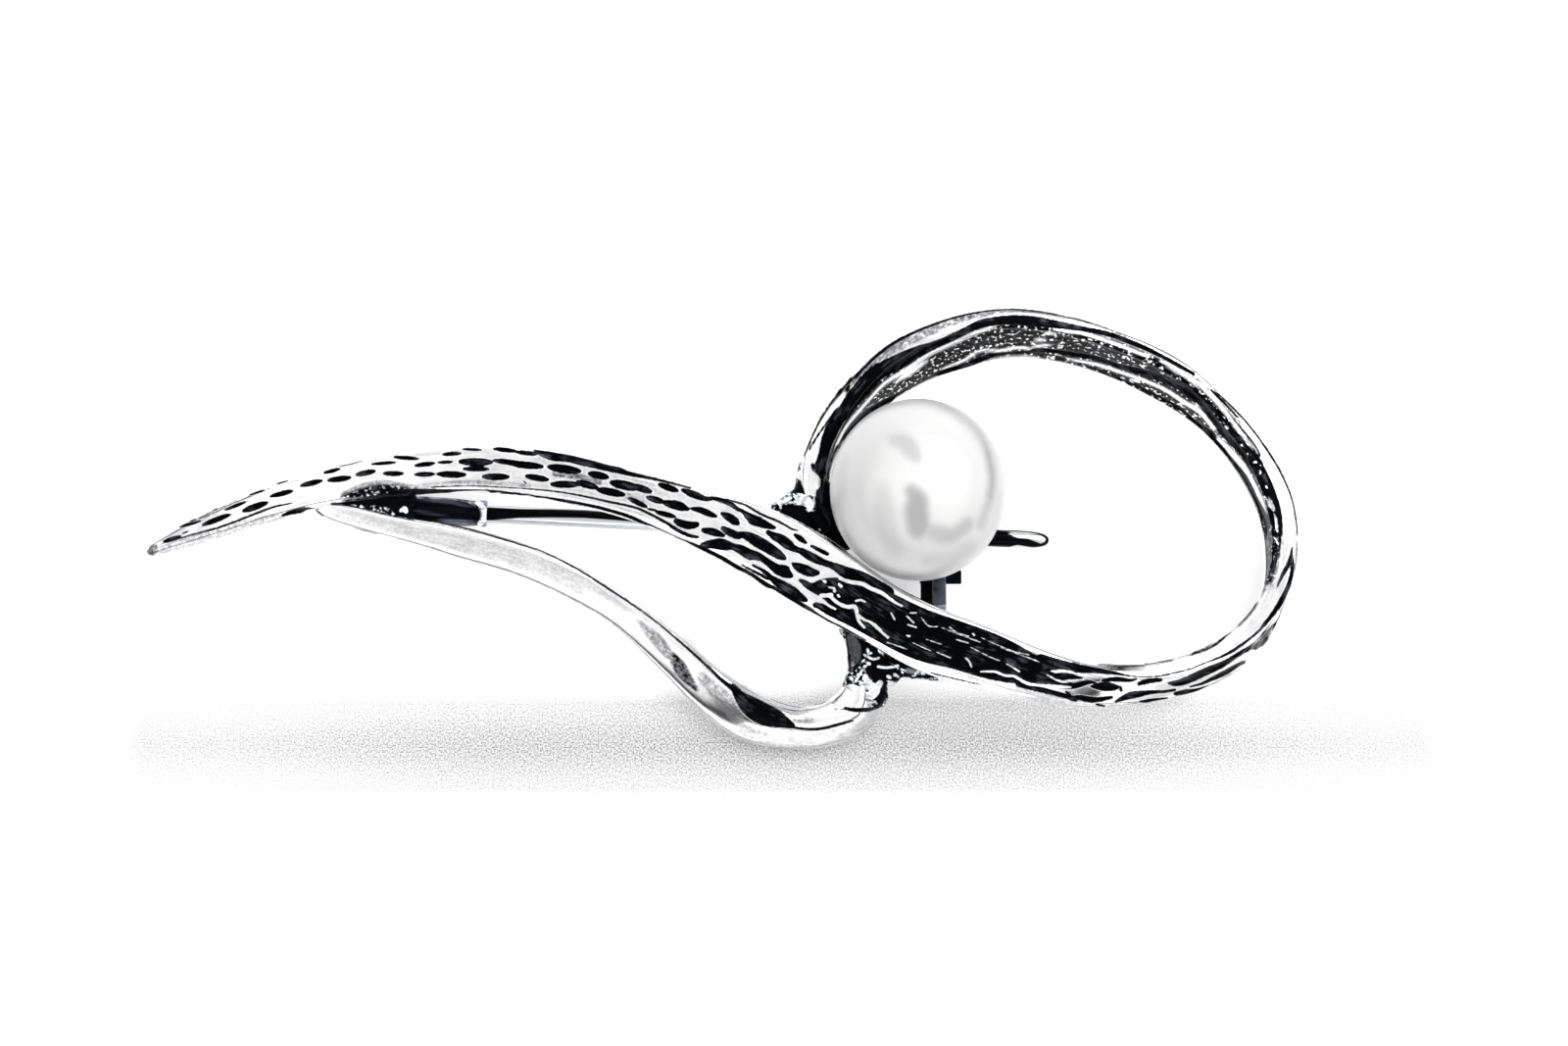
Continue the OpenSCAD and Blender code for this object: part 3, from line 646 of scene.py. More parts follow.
    # all that reads the tube as it was is worked out before its points move
    onBand = addNode(tree, "ShaderNodeCombineXYZ", [alongLength, aside, rise])
    onBand = addNode(tree, "ShaderNodeVectorMath", {"Vector": onBand, "Scale": perMm}, operation="SCALE")
    frontGrey = addNode(tree, "ShaderNodeMath", [isFront, greySkin], operation="MULTIPLY")
    backGrain = addNode(tree, "ShaderNodeMath", [inner, isBack], operation="MULTIPLY")
    backGrain = addNode(tree, "ShaderNodeMath", [backGrain, hollow], operation="MULTIPLY")
    skins = addNode(tree, "ShaderNodeCombineXYZ", [frontGrey, backGrain, 0.0])
    capture = tree.nodes.new("GeometryNodeCaptureAttribute")
    capture.domain = "POINT"
    tree.links.new(tube, capture.inputs[0])
    for i, (name, value) in enumerate((("place", place), ("onBand", onBand), ("skins", skins))):
        capture.capture_items.new("VECTOR", name)
        tree.links.new(value, capture.inputs[i + 1])
    body, place, onBand, skins = [capture.outputs[i] for i in range(4)]
    frontGrey, backGrain, _ = addNode(tree, "ShaderNodeSeparateXYZ", [skins]).node.outputs
    body = addNode(tree, "GeometryNodeSetPosition", {"Geometry": body, "Position": place})
    body = addNode(tree, "GeometryNodeStoreNamedAttribute", {
        "Geometry": body, "Name": "bandPlace", "Value": onBand}, **onPoints)

    # depth of each point inside the nearest stroke, in plan, for the sides that look up
    plan, seen = planAndSeen(tree)
    bright, _ = strokeDepth(tree, given["brightMarks"], plan)
    black, _ = strokeDepth(tree, given["blackMarks"], plan)
    notBright = addNode(tree, "ShaderNodeMath", [bright, -1.0], operation="MULTIPLY")
    farOff = -sweep["markReach"] * mm
    mark = addNode(tree, "ShaderNodeMath", [black, notBright], operation="MINIMUM")
    mark = addNode(tree, "ShaderNodeMath", [mark, farOff], operation="MAXIMUM")
    mark = addNode(tree, "ShaderNodeMix", [seen, None, farOff, mark], **floatKind)
    castFrom, castTo = [edge * mm for edge in sweep["castEdge"]]
    crestFrom, crestTo = [edge * mm for edge in sweep["crestEdge"]]
    cast, _ = strokeDepth(tree, given["castMarks"], plan)
    cast = addNode(tree, "ShaderNodeMapRange", [cast, castFrom, castTo, 0.0, 1.0], **smooth)
    cast = addNode(tree, "ShaderNodeMath", [cast, seen], operation="MULTIPLY")
    backGrain = addNode(tree, "ShaderNodeMath", [backGrain, cast], operation="MAXIMUM")
    offCrest = addNode(tree, "ShaderNodeMapRange", [bright, crestFrom, crestTo, 1.0, 0.0])
    backGrain = addNode(tree, "ShaderNodeMath", [backGrain, offCrest], operation="MULTIPLY")
    inMillimetres = addNode(tree, "ShaderNodeMath", [mark, perMm], operation="MULTIPLY")
    marks = addNode(tree, "ShaderNodeCombineXYZ", [frontGrey, backGrain, inMillimetres])
    body = addNode(tree, "GeometryNodeStoreNamedAttribute", {
        "Geometry": body, "Name": "bandMarks", "Value": marks}, **onPoints)

    # press the marks in, and let the buffed face wave a little
    press = addNode(tree, "ShaderNodeMapRange", [mark, 0.0, given["markSlope"], 0.0, given["markDepth"]],
                    **smooth)
    wave = addNode(tree, "ShaderNodeTexNoise", {
        "Vector": plan, "Scale": 1 / (sweep["waveSize"] * mm), "Detail": 1.0})
    wave = addNode(tree, "ShaderNodeMath", [wave, -0.5], operation="ADD")
    press = addNode(tree, "ShaderNodeMath", [wave, given["waves"], press], operation="MULTIPLY_ADD")
    press = addNode(tree, "ShaderNodeMath", [press, -1.0], operation="MULTIPLY")
    outwards = addNode(tree, "GeometryNodeInputNormal")
    press = addNode(tree, "ShaderNodeVectorMath", {"Vector": outwards, "Scale": press}, operation="SCALE")
    body = addNode(tree, "GeometryNodeSetPosition", {"Geometry": body, "Offset": press})
    body = addNode(tree, "GeometryNodeSetShadeSmooth", [body])
    body = addNode(tree, "GeometryNodeRealizeInstances", [body])
    body = addNode(tree, "GeometryNodeSetMaterial", {"Geometry": body, "Material": given["material"]})
    addNode(tree, "NodeGroupOutput", [body])
    return tree


sweepTree = makeSweepTree()

# Marks placed over the photograph, in the drawing's mm, as the camera sees them.
# dents: x and y of the two ends, width. pools, ridges and grains: x, y and width at each point of a
# stroke. greys: a tone and a stroke
bandMarks = {
    "dents": [
        (-31.49, -0.77, -30.44, -0.44, 0.27), (-30.61, 0.06, -29.29, 0.44, 0.19),
        (-29.29, 0.17, -27.64, 0.8, 0.32), (-29.18, 0.88, -28.35, 1.13, 0.13),
        (-28.02, 1.02, -26.76, 1.51, 0.21), (-26.98, 0.96, -25.55, 1.46, 0.38),
        (-26.65, 1.87, -25.66, 2.17, 0.14), (-25.44, 1.79, -24.12, 2.12, 0.3),
        (-23.73, 2.39, -22.47, 2.69, 0.32), (-25.11, 2.48, -24.39, 2.69, 0.1),
        (-22.41, 3.11, -21.48, 3.35, 0.23), (-21.59, 3.49, -20.21, 3.82, 0.14),
        (-22.19, 2.69, -20.87, 2.86, 0.34), (-30.39, -0.3, -30.06, -0.17, 0.1),
        (-20.6, 3, -19.5, 3.22, 0.33), (-19.06, 3.08, -17.9, 3.08, 0.3), (-19.77, 3.6, -18.29, 3.71, 0.2),
        (-18.51, 4.01, -17.02, 3.9, 0.23), (-17.3, 3.52, -16.14, 3.66, 0.27),
        (-17.3, 3.02, -16.14, 3.05, 0.28), (-16.03, 3.05, -14.38, 3, 0.39),
        (-16.03, 3.69, -15.1, 3.74, 0.19), (-15.76, 4.15, -14.66, 4.21, 0.24),
        (-14.66, 4.46, -13.5, 4.4, 0.18), (-14.82, 3.74, -12.9, 3.71, 0.44),
        (-14.6, 3.33, -13.06, 3.33, 0.29), (-14.16, 3.52, -13.39, 3.52, 0.35),
        (-13.5, 2.89, -11.96, 2.89, 0.4), (-12.9, 4.48, -11.52, 4.32, 0.27),
        (-11.63, 4.29, -10.37, 4.15, 0.26), (-12.9, 3.82, -11.08, 3.6, 0.33),
        (-11.96, 3.63, -10.04, 3.46, 0.41), (-11.08, 2.94, -9.76, 2.72, 0.37),
        (-11.19, 2.69, -10.97, 2.48, 0.1), (-9.82, 3.46, -7.95, 3.19, 0.49),
        (-9.65, 2.48, -8.06, 2.45, 0.41), (-8.22, 2.61, -7.01, 2.28, 0.41),
        (-7.51, 3.08, -6.41, 2.86, 0.44), (-6.3, 2.58, -4.7, 2.25, 0.53), (-5.09, 2.42, -3.99, 2.04, 0.41),
        (-7.07, 2.2, -5.47, 1.87, 0.44), (-5.31, 1.71, -4.21, 1.18, 0.31), (-4.26, 1.76, -3.27, 1.46, 0.37),
        (-3.6, 2.48, -2.5, 2.09, 0.37), (-3.38, 1.49, -1.9, 1.07, 0.47), (-3.77, 0.94, -2.61, 0.63, 0.31),
        (-4.21, 1.1, -3.66, 0.99, 0.16), (-2.72, 0.41, -1.73, 0.03, 0.41),
        (-30.06, 0.39, -29.56, 0.52, 0.11), (-28.68, 1.35, -28.24, 1.46, 0.11)],
    # what the buff never reached: oxide in the channel, the dents and the hollow; among them are painted
    # shade along the lower edge of the dented stretch and beside the pearl, and painted dark reflections as
    # thin lines along the edges
    "pools": [
        [(6.85, -3.79, 1.98), (7.56, -4.12, 2.31), (8.39, -4.57, 2.53), (9.05, -4.95, 2.75),
         (11.08, -5.94, 2.86), (13.12, -6.54, 2.69), (15.15, -7.21, 2.53), (16.91, -7.81, 1.87),
         (17.85, -7.97, 1.43)],
        [(16.64, -8.69, 0.44), (17.74, -9.02, 0.33), (18.84, -9.29, 0.28), (19.77, -9.57, 0.33)],
        [(-2.23, 2.15, 0.22), (-1.84, 1.98, 0.39), (-1.4, 1.81, 0.39), (-0.96, 1.65, 0.28),
         (-0.52, 1.68, 0.22), (-0.08, 1.57, 0.28), (0.41, 1.38, 0.28), (0.8, 1.1, 0.23), (1.13, 0.94, 0.25),
         (1.4, 0.71, 0.39), (1.73, 0.47, 0.6), (2.12, 0.33, 0.55), (2.5, 0.17, 0.39), (2.89, 0.03, 0.22)],
        [(-1.68, 1.1, 0.22), (-1.24, 1.02, 0.36), (-0.74, 0.82, 0.36), (-0.36, 0.66, 0.17)],
        [(-0.03, 0.82, 0.22), (0.3, 0.66, 0.44), (0.63, 0.44, 0.49), (0.85, 0.28, 0.25)],
        [(-2.72, 1.49, 0.22), (-2.34, 1.32, 0.33), (-2.06, 1.16, 0.22)],
        [(-2.61, 0.44, 0.28), (-2.23, 0.28, 0.39), (-1.79, 0.17, 0.44), (-1.46, 0.22, 0.33)],
        [(-1.07, -0.11, 0.28), (-0.63, -0.17, 0.44), (-0.3, -0.28, 0.39), (0.03, -0.39, 0.22)],
        [(0.03, 0, 0.28), (0.41, -0.22, 0.44), (0.8, -0.39, 0.44), (1.13, -0.36, 0.39), (1.51, -0.49, 0.55),
         (1.9, -0.71, 0.66), (2.34, -0.96, 0.66), (2.78, -1.24, 0.6), (3.16, -1.49, 0.49),
         (3.49, -1.68, 0.22)],
        [(-1.13, -0.94, 0.33), (-0.63, -0.88, 0.49), (-0.14, -0.88, 0.66), (0.25, -0.96, 0.55),
         (0.58, -1.02, 0.39), (1.07, -1.21, 0.55), (1.51, -1.46, 0.6), (1.9, -1.54, 0.49),
         (2.34, -1.76, 0.39), (2.72, -2.04, 0.44), (3.11, -2.31, 0.6), (3.49, -2.42, 0.71),
         (3.77, -2.61, 0.39)],
        [(3.93, -2.01, 0.22), (4.26, -2.17, 0.49), (4.65, -2.34, 0.6), (5.03, -2.48, 0.49),
         (5.31, -2.48, 0.28)],
        [(2.56, -0.22, 0.28), (2.89, -0.44, 0.44), (3.22, -0.58, 0.55), (3.6, -0.85, 0.6),
         (3.88, -1.07, 0.44), (4.21, -1.21, 0.33), (4.43, -1.29, 0.39), (4.81, -1.51, 0.49),
         (5.25, -1.73, 0.49), (5.64, -1.9, 0.39), (6.08, -2.06, 0.39), (6.46, -2.23, 0.49),
         (6.85, -2.45, 0.66), (7.29, -2.61, 0.71), (7.73, -2.78, 0.77), (8.17, -3, 0.77),
         (8.66, -3.27, 0.77), (9.21, -3.58, 0.77)],
        [(4.04, -0.36, 0.17), (4.32, -0.55, 0.33), (4.65, -0.8, 0.19)],
        [(4.98, -0.99, 0.17), (5.42, -1.21, 0.24), (5.86, -1.43, 0.22)],
        [(0.25, 1.62, 0.1), (1.24, 1.32, 0.12), (1.79, 0.99, 0.14), (2.34, 0.71, 0.14), (2.89, 0.49, 0.14),
         (3.44, 0.22, 0.13), (3.88, -0.03, 0.11), (4.21, -0.11, 0.08)],
        [(4.37, -2.92, 0.22), (4.76, -3.14, 0.44), (5.2, -3.3, 0.66), (5.75, -3.35, 1.1),
         (6.3, -3.52, 1.54), (6.85, -3.79, 1.98)],
        [(2.67, -2.75, 0.28), (3, -2.97, 0.44), (3.44, -3.25, 0.55), (3.88, -3.52, 0.6),
         (4.26, -3.79, 0.49), (4.65, -4.01, 0.28)],
        [(5.2, -4.29, 0.33), (5.64, -4.51, 0.55), (6.19, -4.79, 0.71), (6.74, -5.12, 0.88),
         (7.29, -5.39, 0.99), (7.95, -5.72, 1.1)],
        [(1.07, -2.04, 0.11), (1.79, -2.42, 0.17), (2.56, -2.83, 0.19)],
        [(1.68, -2.06, 0.14), (2.34, -2.42, 0.22), (2.72, -2.75, 0.28)],
        # painted shade: the dark band along the lower edge of the dented stretch
        [(-18.67, 1.98, 0.22), (-18.01, 2.04, 0.33), (-17.19, 2.06, 0.33), (-16.36, 2.06, 0.31),
         (-14.71, 2.04, 0.31), (-13.06, 2.01, 0.31), (-11.69, 1.9, 0.26), (-10.31, 1.73, 0.2),
         (-8.66, 1.51, 0.18), (-7.01, 1.18, 0.19), (-5.36, 0.71, 0.22), (-3.99, 0.08, 0.22),
         (-2.61, -0.55, 0.2), (-1.4, -1.02, 0.22), (-0.14, -1.59, 0.24), (0.69, -2.09, 0.24),
         (1.24, -2.37, 0.22), (1.79, -2.69, 0.22), (2.45, -3.16, 0.28), (2.89, -3.35, 0.19),
         (3.44, -3.69, 0.19), (3.99, -4.01, 0.22), (4.54, -4.34, 0.24), (5.09, -4.7, 0.26),
         (5.64, -5.03, 0.28), (6.19, -5.31, 0.25), (6.63, -5.53, 0.18)],
        # painted dark reflection: a thin line along that edge
        [(-16.36, 2.31, 0.07), (-14.16, 2.39, 0.07), (-11.96, 2.28, 0.07), (-9.76, 2.12, 0.09),
         (-8.11, 1.87, 0.11), (-6.46, 1.51, 0.14), (-4.81, 1.13, 0.14), (-3.44, 0.47, 0.17),
         (-2.5, -0.11, 0.22), (-1.84, -0.41, 0.22), (-1.4, -0.49, 0.17)],
        [(-10.53, 4.37, 0.17), (-9.98, 4.18, 0.44), (-9.43, 4.01, 0.49), (-8.66, 3.93, 0.44),
         (-8, 3.79, 0.49), (-7.29, 3.63, 0.49), (-6.46, 3.44, 0.49), (-5.8, 3.25, 0.39),
         (-5.31, 3.08, 0.28), (-4.26, 2.86, 0.2), (-3.6, 2.72, 0.17), (-2.61, 2.48, 0.13),
         (-1.79, 2.25, 0.11)],
        # painted shade: the gap between the loop's end, the pearl and the strand
        [(5.8, 3.35, 0.71), (5.64, 2.15, 0.77), (5.75, 1.32, 1.1), (5.97, 0.49, 1.43), (6.3, -0.22, 1.21),
         (6.74, -0.88, 0.66), (7.12, -1.26, 0.28)],
        [(3.44, 1.21, 0.17), (4.1, 0.88, 0.49), (4.65, 0.6, 0.66), (5.2, 0.33, 0.77)],
        # painted dark reflections: thin lines along the loop's edge and, in the next two strokes, along the
        # loop's right side and the tip
        [(4.48, 3.85, 0.09), (4.98, 5.06, 0.1), (5.53, 6.16, 0.11), (6.57, 7.65, 0.11), (7.84, 8.91, 0.14),
         (8.77, 9.79, 0.17), (9.82, 10.53, 0.17), (11.3, 11.22, 0.13), (12.95, 11.8, 0.11),
         (14.44, 12.13, 0.09), (16.09, 12.27, 0.08), (17.63, 12.15, 0.09), (19.06, 11.88, 0.09),
         (20.49, 11.55, 0.09), (21.92, 11.05, 0.07)],
        [(27.64, 7.7, 0.06), (28.35, 7.04, 0.1), (29.4, 5.94, 0.11), (30.33, 4.73, 0.12),
         (31.1, 3.52, 0.12), (31.82, 2.04, 0.11), (32.15, 0.82, 0.11), (32.29, -0.49, 0.11)],
        [(-30.66, -0.6, 0.06), (-29.56, -0.28, 0.1), (-28.46, 0, 0.11), (-27.36, 0.39, 0.12),
         (-26.26, 0.82, 0.13), (-25.16, 1.21, 0.12), (-24.17, 1.43, 0.07)],
        [(-24.72, 0.74, 0.13), (-24.17, 0.91, 0.28), (-23.51, 1.02, 0.36), (-22.96, 0.94, 0.36),
         (-22.52, 0.69, 0.22)],
        [(11.69, -8.09, 0.07), (13.06, -8.42, 0.09), (14.44, -8.74, 0.07)],
        [(5.25, 2.86, 0.6), (5.75, 4.07, 0.81), (6.02, 5.17, 0.88), (6.57, 6.11, 0.88), (7.12, 6.99, 0.88),
         (7.78, 7.81, 0.95), (8.61, 8.69, 0.95), (9.76, 9.29, 0.88), (10.86, 9.85, 0.68),
         (11.96, 10.29, 0.42), (13.06, 10.78, 0.42), (14.44, 11.44, 0.48), (15.81, 11.66, 0.54),
         (17.19, 11.61, 0.6), (18.56, 11.44, 0.48), (19.94, 11.22, 0.3), (21.59, 10.89, 0.3),
         (23.24, 10.29, 0.3), (24.89, 9.52, 0.24), (26.54, 8.58, 0.2)],
        [(6.19, 3.79, 0.33), (6.63, 4.79, 0.33), (7.29, 5.78, 0.33), (8.11, 6.49, 0.39), (9.21, 7.04, 0.49),
         (10.31, 7.59, 0.49), (11.41, 8.2, 0.39), (12.51, 8.8, 0.28), (13.61, 9.13, 0.28),
         (14.71, 9.57, 0.33), (15.54, 9.79, 0.17), (16.64, 9.85, 0.17), (17.74, 10.01, 0.22),
         (18.84, 9.9, 0.22), (19.94, 9.73, 0.28), (21.04, 9.52, 0.28), (22.14, 9.13, 0.28),
         (23.24, 8.86, 0.33), (24.34, 8.53, 0.44), (25.44, 8.09, 0.49), (26.26, 7.65, 0.55),
         (27.09, 6.93, 0.49)],
        [(21.04, 8.8, 0.11), (22.69, 8.25, 0.13), (24.34, 7.48, 0.13), (25.71, 6.71, 0.17),
         (27.09, 5.45, 0.17)],
        [(6.19, 7.54, 0.22), (6.85, 7.75, 0.22), (7.45, 8.03, 0.11)],
        [(6.85, 8.25, 0.11), (7.4, 8.47, 0.17), (7.89, 8.69, 0.11)],
        [(4.04, 3.35, 0.1), (4.43, 3.33, 0.11), (4.87, 3.46, 0.14), (5.31, 3.74, 0.28)],
        [(-21.97, 1.4, 0.08), (-21.2, 1.43, 0.13), (-20.32, 1.49, 0.19), (-19.22, 1.57, 0.28),
         (-18.29, 1.71, 0.39), (-17.46, 1.87, 0.33)],
        [(17.85, -7.48, 0.88), (18.84, -7.65, 0.66), (19.94, -7.84, 0.49), (21.04, -7.97, 0.33),
         (21.86, -8.09, 0.22), (22.58, -8.22, 0.11), (23.24, -8.3, 0.07)],
        [(18.29, -8.3, 0.33), (18.62, -8.33, 0.44), (19.06, -8.3, 0.44), (19.5, -8.3, 0.33),
         (20.1, -8.36, 0.17)],
        [(17.63, -8.42, 0.44), (18.07, -8.58, 0.44), (18.84, -8.8, 0.28), (19.5, -8.86, 0.33),
         (20.1, -8.72, 0.33), (20.6, -8.61, 0.22), (20.93, -8.69, 0.11)],
        [(20.65, -8.86, 0.11), (21.04, -8.86, 0.39), (21.48, -8.86, 0.55), (21.92, -8.91, 0.39),
         (22.14, -8.91, 0.22)],
        [(21.31, -8.53, 0.17), (21.7, -8.47, 0.25), (22.25, -8.47, 0.28), (22.8, -8.53, 0.19),
         (23.18, -8.47, 0.11)],
        [(22.3, -8.91, 0.17), (22.36, -9.1, 0.17)],
        [(23.35, -8.72, 0.22), (23.79, -8.58, 0.3), (24.34, -8.5, 0.25), (24.61, -8.5, 0.17)],
        [(19.61, -9.49, 0.17), (20.05, -9.49, 0.33), (20.6, -9.6, 0.36), (21.15, -9.6, 0.28),
         (21.81, -9.49, 0.19)],
        [(22.08, -9.73, 0.14), (22.58, -9.49, 0.33), (23.02, -9.35, 0.41), (23.57, -9.27, 0.33),
         (24.12, -9.19, 0.22), (24.78, -9.16, 0.17), (25.38, -9.07, 0.17)],
        [(23.4, -9.73, 0.09), (23.9, -9.68, 0.19), (24.45, -9.6, 0.14), (25, -9.54, 0.09)],
        [(20.98, -9.87, 0.14), (21.42, -9.98, 0.11)],
        [(16.64, -8.69, 0.25), (17.46, -8.94, 0.22), (18.29, -9.19, 0.2), (18.95, -9.4, 0.17),
         (19.61, -9.54, 0.14)],
        [(19.28, -9.16, 0.14), (19.5, -9.35, 0.17)],
        [(25.05, -8.69, 0.17), (25.44, -8.69, 0.36), (25.99, -8.55, 0.41), (26.65, -8.25, 0.47),
         (27.36, -7.92, 0.44), (28.08, -7.62, 0.36), (28.63, -7.26, 0.28), (29.18, -6.93, 0.28),
         (29.62, -6.71, 0.28), (30, -6.6, 0.44), (30.33, -6.38, 0.44), (30.66, -6.11, 0.28),
         (31.05, -5.78, 0.13)],
        [(23.24, -8.3, 0.07), (24.34, -8.28, 0.08), (25.27, -8.11, 0.09), (26.26, -7.87, 0.08),
         (27.09, -7.54, 0.09), (27.75, -7.29, 0.12), (28.46, -6.96, 0.19), (29.01, -6.6, 0.18),
         (29.56, -6.19, 0.14), (30.06, -5.78, 0.14), (30.44, -5.33, 0.22), (30.88, -4.79, 0.25),
         (31.32, -4.07, 0.28), (31.65, -3.46, 0.28), (31.87, -2.81, 0.25), (31.98, -2.15, 0.19),
         (32.04, -1.59, 0.13)],
        [(31.05, -3.41, 0.08), (31.27, -2.92, 0.17), (31.49, -2.48, 0.22), (31.71, -2.09, 0.28),
         (31.87, -1.71, 0.22), (31.93, -1.16, 0.13), (32.04, -0.94, 0.08)],
        [(26.26, -8.88, 0.11), (26.98, -8.69, 0.17), (27.69, -8.36, 0.28), (28.41, -8, 0.33),
         (28.96, -7.67, 0.25), (29.4, -7.48, 0.17)],
        [(25.44, -9.29, 0.22), (25.93, -9.19, 0.28), (26.48, -9.1, 0.19), (27.2, -8.91, 0.14),
         (27.75, -8.72, 0.19), (28.24, -8.44, 0.22), (28.74, -8.2, 0.2), (29.29, -7.81, 0.11)],
        [(29.56, -7.65, 0.11), (30.17, -7.15, 0.11), (30.72, -6.54, 0.09), (31.1, -6, 0.09)],
        [(30.33, -5.88, 0.13), (30.77, -5.64, 0.25), (31.16, -5.33, 0.28), (31.38, -4.95, 0.28),
         (31.54, -4.46, 0.25), (31.71, -3.9, 0.22), (31.87, -3.46, 0.2), (32.04, -3.19, 0.14)],
        [(31.1, -4.62, 0.22), (31.38, -4.46, 0.17)],
        [(23.68, -7.59, 0.1), (24.89, -7.4, 0.1), (25.49, -7.21, 0.13), (26.1, -7.04, 0.18),
         (26.81, -6.9, 0.13), (27.64, -6.52, 0.14), (28.19, -6.05, 0.13), (28.74, -5.55, 0.14),
         (29.07, -5.22, 0.17), (29.56, -4.67, 0.14), (29.89, -4.29, 0.19)],
        [(17.9, -10.29, 0.06), (19.11, -10.39, 0.11), (21.04, -10.34, 0.08)],
        [(27.42, 7.75, 0.17), (28.19, 6.99, 0.17), (28.85, 6.27, 0.13)],
        [(27.42, 6.76, 0.22), (28.19, 6, 0.22), (28.85, 5.28, 0.22), (29.45, 4.51, 0.25),
         (29.89, 4.01, 0.33), (30.22, 3.69, 0.22)],
        [(28.52, 6.33, 0.09), (29.29, 5.39, 0.11), (29.84, 4.73, 0.11), (30.28, 3.9, 0.09)],
        [(26.98, 6.66, 0.49), (27.42, 6.21, 0.44), (27.97, 5.55, 0.44), (28.46, 5, 0.39),
         (28.96, 4.46, 0.33), (29.4, 3.9, 0.33), (29.78, 3.35, 0.33), (30.11, 2.75, 0.22),
         (30.39, 2.09, 0.28), (30.61, 1.65, 0.17), (30.77, 0.82, 0.28), (30.88, 0.17, 0.28)],
        [(30.28, 3.41, 0.28), (30.61, 2.69, 0.33), (30.88, 2.04, 0.33), (31.1, 1.38, 0.33),
         (31.27, 0.6, 0.28), (31.32, -0.33, 0.22), (31.18, -1.26, 0.17), (30.94, -2.25, 0.13),
         (30.66, -3.02, 0.11)],
        [(26.81, 5.78, 0.17), (27.53, 5.22, 0.33), (28.08, 4.46, 0.28), (28.63, 3.69, 0.28),
         (29.18, 2.97, 0.44), (29.67, 2.15, 0.44), (30.06, 1.32, 0.44), (30.39, 0.49, 0.44),
         (30.5, -0.06, 0.33), (30.41, -0.71, 0.17), (30.44, -1.71, 0.11), (30.39, -2.53, 0.11),
         (30.28, -3.35, 0.11)],
        [(30.83, -1.71, 0.28), (30.8, -2.25, 0.22)],
        [(30.5, -1.04, 0.11), (30.77, -0.71, 0.17), (30.99, -0.71, 0.11)],
        [(4.76, 4.24, 0.11), (5.31, 5.17, 0.14), (5.97, 6.11, 0.14), (6.52, 6.88, 0.11)],
        [(16.91, -8.2, 1.1), (17.74, -8.3, 0.88), (18.29, -8.58, 0.55)],
        [(18.73, -8.69, 0.44), (19.5, -8.8, 0.39)],
        [(30.22, -6.21, 0.22), (30.61, -5.83, 0.22)],
    ],
    # crests that stand bright in the pools
    "ridges": [
        [(6.02, -3.79, 0.2), (6.46, -4.18, 0.19), (7.01, -4.4, 0.22), (7.4, -4.37, 0.22),
         (7.51, -4.73, 0.2), (7.62, -5.17, 0.17), (7.95, -5.55, 0.13)],
        [(5.53, -3.77, 0.22), (6.08, -3.74, 0.24)],
        [(7.51, -4.79, 0.17), (7.95, -5.12, 0.14), (8.22, -5.22, 0.14), (8.55, -5.45, 0.19),
         (8.94, -5.83, 0.15), (9.27, -6.11, 0.13)],
        [(5.64, -2.92, 0.15), (5.75, -3, 0.17)],
        [(5.97, -3.3, 0.11), (6.24, -3.35, 0.13), (6.27, -3.52, 0.17)],
        [(6.52, -3.11, 0.13), (6.63, -3.25, 0.18)],
        [(6.46, -3.74, 0.14), (6.52, -3.82, 0.14)],
        [(7.45, -4.07, 0.11), (7.73, -4.01, 0.13), (8, -4.12, 0.1)],
        [(3.77, -2.04, 0.17), (3.93, -2.37, 0.19), (4.1, -2.61, 0.19), (4.37, -2.67, 0.17),
         (4.7, -2.81, 0.19), (5.03, -2.94, 0.22), (5.42, -2.67, 0.14)],
        [(5.64, -4.12, 0.13), (5.97, -4.34, 0.14), (6.3, -4.51, 0.14)],
        [(6.57, -2.81, 0.17), (7.18, -3, 0.22), (7.84, -3.11, 0.24), (8.28, -3.35, 0.24),
         (8.94, -3.63, 0.22), (9.54, -4.07, 0.17), (10.04, -4.34, 0.13)],
        [(5.2, -4.54, 0.19), (5.91, -4.98, 0.2), (6.74, -5.39, 0.2), (7.4, -5.75, 0.22),
         (8.11, -6.16, 0.24), (8.94, -6.71, 0.28), (9.93, -7.26, 0.28), (11.14, -7.7, 0.22),
         (12.24, -7.92, 0.22)],
        [(9.43, -4.73, 0.08), (9.65, -5.12, 0.1)],
        [(10.31, -4.9, 0.08), (10.7, -5.28, 0.1)],
        [(10.48, -4.73, 0.07), (10.86, -4.73, 0.09)],
        [(10.37, -5.39, 0.08), (10.86, -5.55, 0.09)],
        [(10.31, -6, 0.1), (10.48, -6.05, 0.1)],
        [(11.14, -5, 0.06), (11.52, -5.45, 0.07), (12.02, -5.5, 0.06)],
        [(12.68, -5.5, 0.06), (13.12, -5.83, 0.06), (13.78, -6.05, 0.06)],
        [(14, -5.88, 0.1), (14.11, -6, 0.1)],
        [(13.61, -7.26, 0.09), (13.83, -7.48, 0.12), (13.94, -7.75, 0.09)],
        [(14.44, -8.03, 0.09), (15.26, -8.03, 0.12), (15.81, -8.25, 0.14), (16.36, -8.3, 0.14),
         (17.08, -8.69, 0.17), (17.85, -8.8, 0.17), (18.84, -8.86, 0.19), (19.5, -8.91, 0.11)],
        [(15.92, -7.59, 0.08), (16.64, -8.03, 0.1)],
        [(11.96, -6.93, 0.05), (12.79, -7.26, 0.06)],
        [(11.41, -6.21, 0.05), (12.24, -6.49, 0.06)],
        [(9.21, -6.38, 0.06), (10.31, -6.76, 0.07)],
        [(13.06, -6.21, 0.06), (13.78, -6.43, 0.06)],
